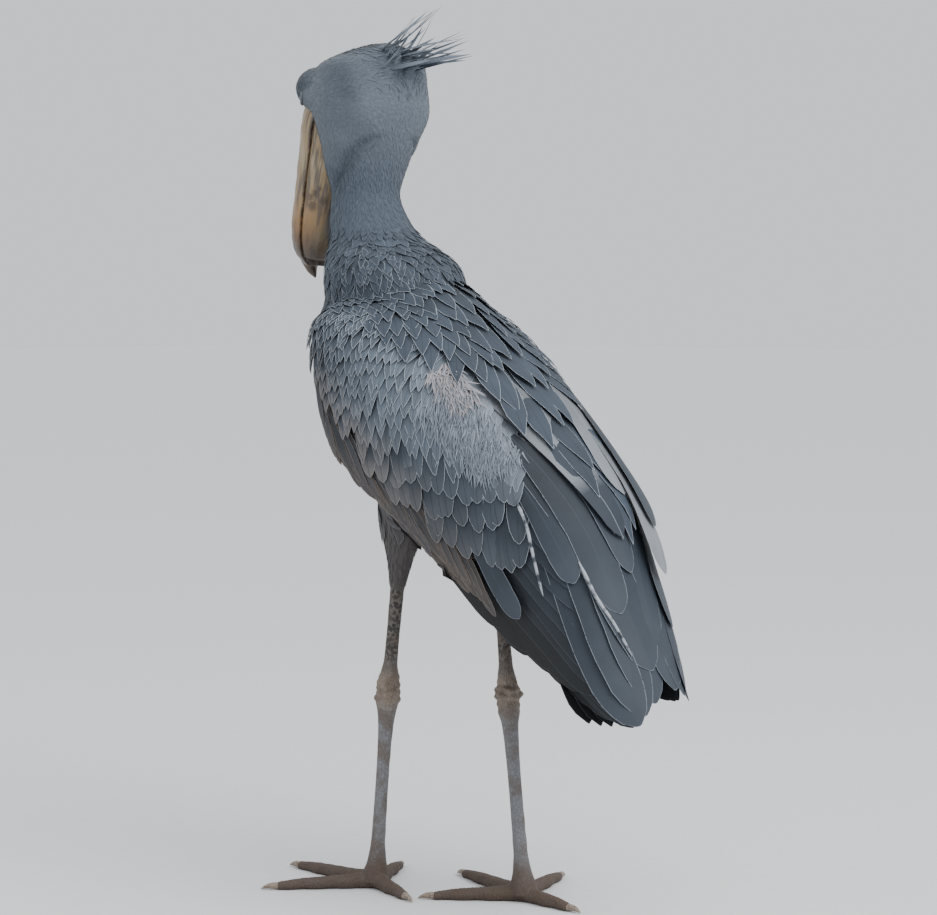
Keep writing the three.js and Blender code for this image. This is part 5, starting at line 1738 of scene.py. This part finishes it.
leg_pieces = {}
for name, leg in LEGS.items():
    hip, bare, ankle, foot = leg_places(leg)
    share = np.linspace(-0.06, 0.98, 40)
    line = bare + (ankle - bare) * share[:, None]
    shells = [tube(ovals(line, *frames_along(line, Y), *SHIN(share).T))]
    share = np.linspace(-0.04, 1.05, 80)
    line = ankle + (foot - ankle) * share[:, None]
    shells.append(tube(ovals(line, *frames_along(line, Y), *TARSUS(share).T)))
    for turn, share in TOES:
        direction, line, size = toe_places(leg, turn, share)
        shells.append(tube(ovals(line, *frames_along(line, np.cross(direction, Z)), size, size, 24)))
    piece = melted("leg_skin_" + name, shells, LEG_VOXEL, 3)
    points, outward = places(piece)
    shin_way = unit(ankle - bare)
    from_ankle = (points - ankle) @ shin_way
    near_ankle = soft_spot((from_ankle + 1) / 15) * (points[:, 2] > 150)
    round_leg = np.arctan2(points[:, 1] - ankle[1], points[:, 0] - ankle[0])
    folds = np.sin(from_ankle * 0.62 + 1.6 * np.sin(round_leg * 2 + leg["side"])
                   + 0.5 * np.sin(round_leg * 5))
    x, y, z = points.T
    lumps = np.sin(x * 0.31 + leg["side"]) * np.sin(y * 0.36) * np.sin(z * 0.22 + 1)
    rise = near_ankle * (1.15 * np.sign(folds) * np.abs(folds) ** 0.7 + 3.4 * lumps) + 0.3 * lumps
    off_foot = np.linalg.norm(points[:, :2] - foot[:2], axis=1)
    on_toes = smooth_step(off_foot, 16, 30) * (points[:, 2] < 26)
    ring = np.sin(off_foot * 2 * math.pi / TOE_RING)
    rise += on_toes * (0.28 * ring + 0.8 * np.sin(off_foot * 2 * math.pi / 37 + 1.2) * (outward[:, 2] < 0.5))
    points = points + outward * rise[:, None]
    points[:, 2] = np.maximum(points[:, 2], ON_FLOOR)
    put_places(piece, points)
    note(piece, "leg", stacked(from_ankle, off_foot, points[:, 2]))
    leg_pieces[name] = piece

# %% [markdown]
# ## The finish of leg skin
# Bird legs wear small plates. The shin is grey with black flecks, the ankle is dusty tan with creases, the
# tarsus is blue-grey, and the toes are dark brown with mud in the creases. The plates are cells of about
# four millimetres, and both their bump and the dirt in their seams come from the distance to a cell's edge.

# %% Leg material
SHIN_GREY = linear("#5c5854")
FLECK_BLACK = linear("#17191c")
ANKLE_TAN = linear("#776c62")
TARSUS_BLUE = linear("#6c6f73")
TARSUS_BROWN = linear("#584d45")
TOE_BROWN = linear("#45372d")
leg_skin, tree, shader = finish_of("scaly leg skin", 0.68, Specular_IOR_Level=0.35)
from_ankle, _, height = split(tree, stored(tree, "leg"))
where = object_place(tree)
cells = {"feature": "DISTANCE_TO_EDGE", "Scale": 260.0}
plates = add(tree, "ShaderNodeTexVoronoi", cells, {"Vector": stretched(tree, where, (1.0, 1.0, 0.6))})
plates = plates.outputs["Distance"]
flecks = noise(tree, where, 240.0, 3.0)
dust = noise(tree, where, 45.0, 4.0)
colour = mixed(tree, fade(tree, from_ankle, 6, 40), ANKLE_TAN, TARSUS_BLUE)
colour = mixed(tree, rest_of(tree, fade(tree, from_ankle, -34, -14)), colour, SHIN_GREY)
flecked = times(tree, rest_of(tree, fade(tree, from_ankle, -60, -24)), fade(tree, flecks, 0.44, 0.52))
colour = mixed(tree, times(tree, flecked, 0.85), colour, FLECK_BLACK)
colour = mixed(tree, times(tree, fade(tree, dust, 0.42, 0.66), 0.7), colour, TARSUS_BROWN)
colour = mixed(tree, times(tree, rest_of(tree, fade(tree, height, 22, 70)), 0.9), colour, TOE_BROWN)
colour = mixed(tree, times(tree, rest_of(tree, fade(tree, plates, 0.02, 0.16)), 0.35), colour, TOE_BROWN)
painted(tree, shader, colour)
relief = math_node(tree, "ADD", fade(tree, plates, 0.0, 0.3), times(tree, dust, 0.4))
bumped(tree, shader, relief, 0.55, 0.0009)
for name, piece in leg_pieces.items():
    finished(piece, leg_skin, "leg_skin", "shank_" + name, "tarsus_" + name, "foot_" + name)

# %% Claws
CLAW_LENGTH = 22
CLAW_DARK = linear("#5a5047")
CLAW_PALE = linear("#8b7d6d")
claw_horn, tree, shader = finish_of("worn claw horn", 0.4)
streak = noise(tree, object_place(tree), 500.0, 3.0)
painted(tree, shader, mixed(tree, fade(tree, streak, 0.35, 0.65), CLAW_DARK, CLAW_PALE))
for name, leg in LEGS.items():
    shells = []
    for turn, share in TOES:
        direction, line, size = toe_places(leg, turn, share)
        reach = np.linspace(0, 1, 26)
        claw_size = size[-1] * profile([[0, 0.82], [0.5, 0.62], [0.85, 0.3], [1, 0.1]])(reach)[:, 0]
        arch = 1.6 * np.sin(reach * 2.4) - reach**2 * (size[-1] - 1.4)
        path = line[-1] + direction * (reach * CLAW_LENGTH - 1)[:, None] + stacked(0, 0, arch)
        rings = ovals(path, *frames_along(path, np.cross(direction, Z)), claw_size, claw_size * 1.05, 20)
        rings[..., 2] = np.maximum(rings[..., 2], ON_FLOOR)
        shells.append(tube(rings))
    claws = put_mesh("claws_" + name, *joined(shells))
    face_outwards(claws)
    finished(claws, claw_horn, "claw_horn", *["claw_" + name + "_" + str(i) for i in (1, 2, 3, 4)])

# %% [markdown]
# ## Joining the frame
# The skin stands for every node of flesh.

# %% Skin in place and the end
finished(skin, bare_skin, "body_plumage", "torso", "neck", "head", "wing_left", "wing_right", "tail",
         "thigh_left", "thigh_right")
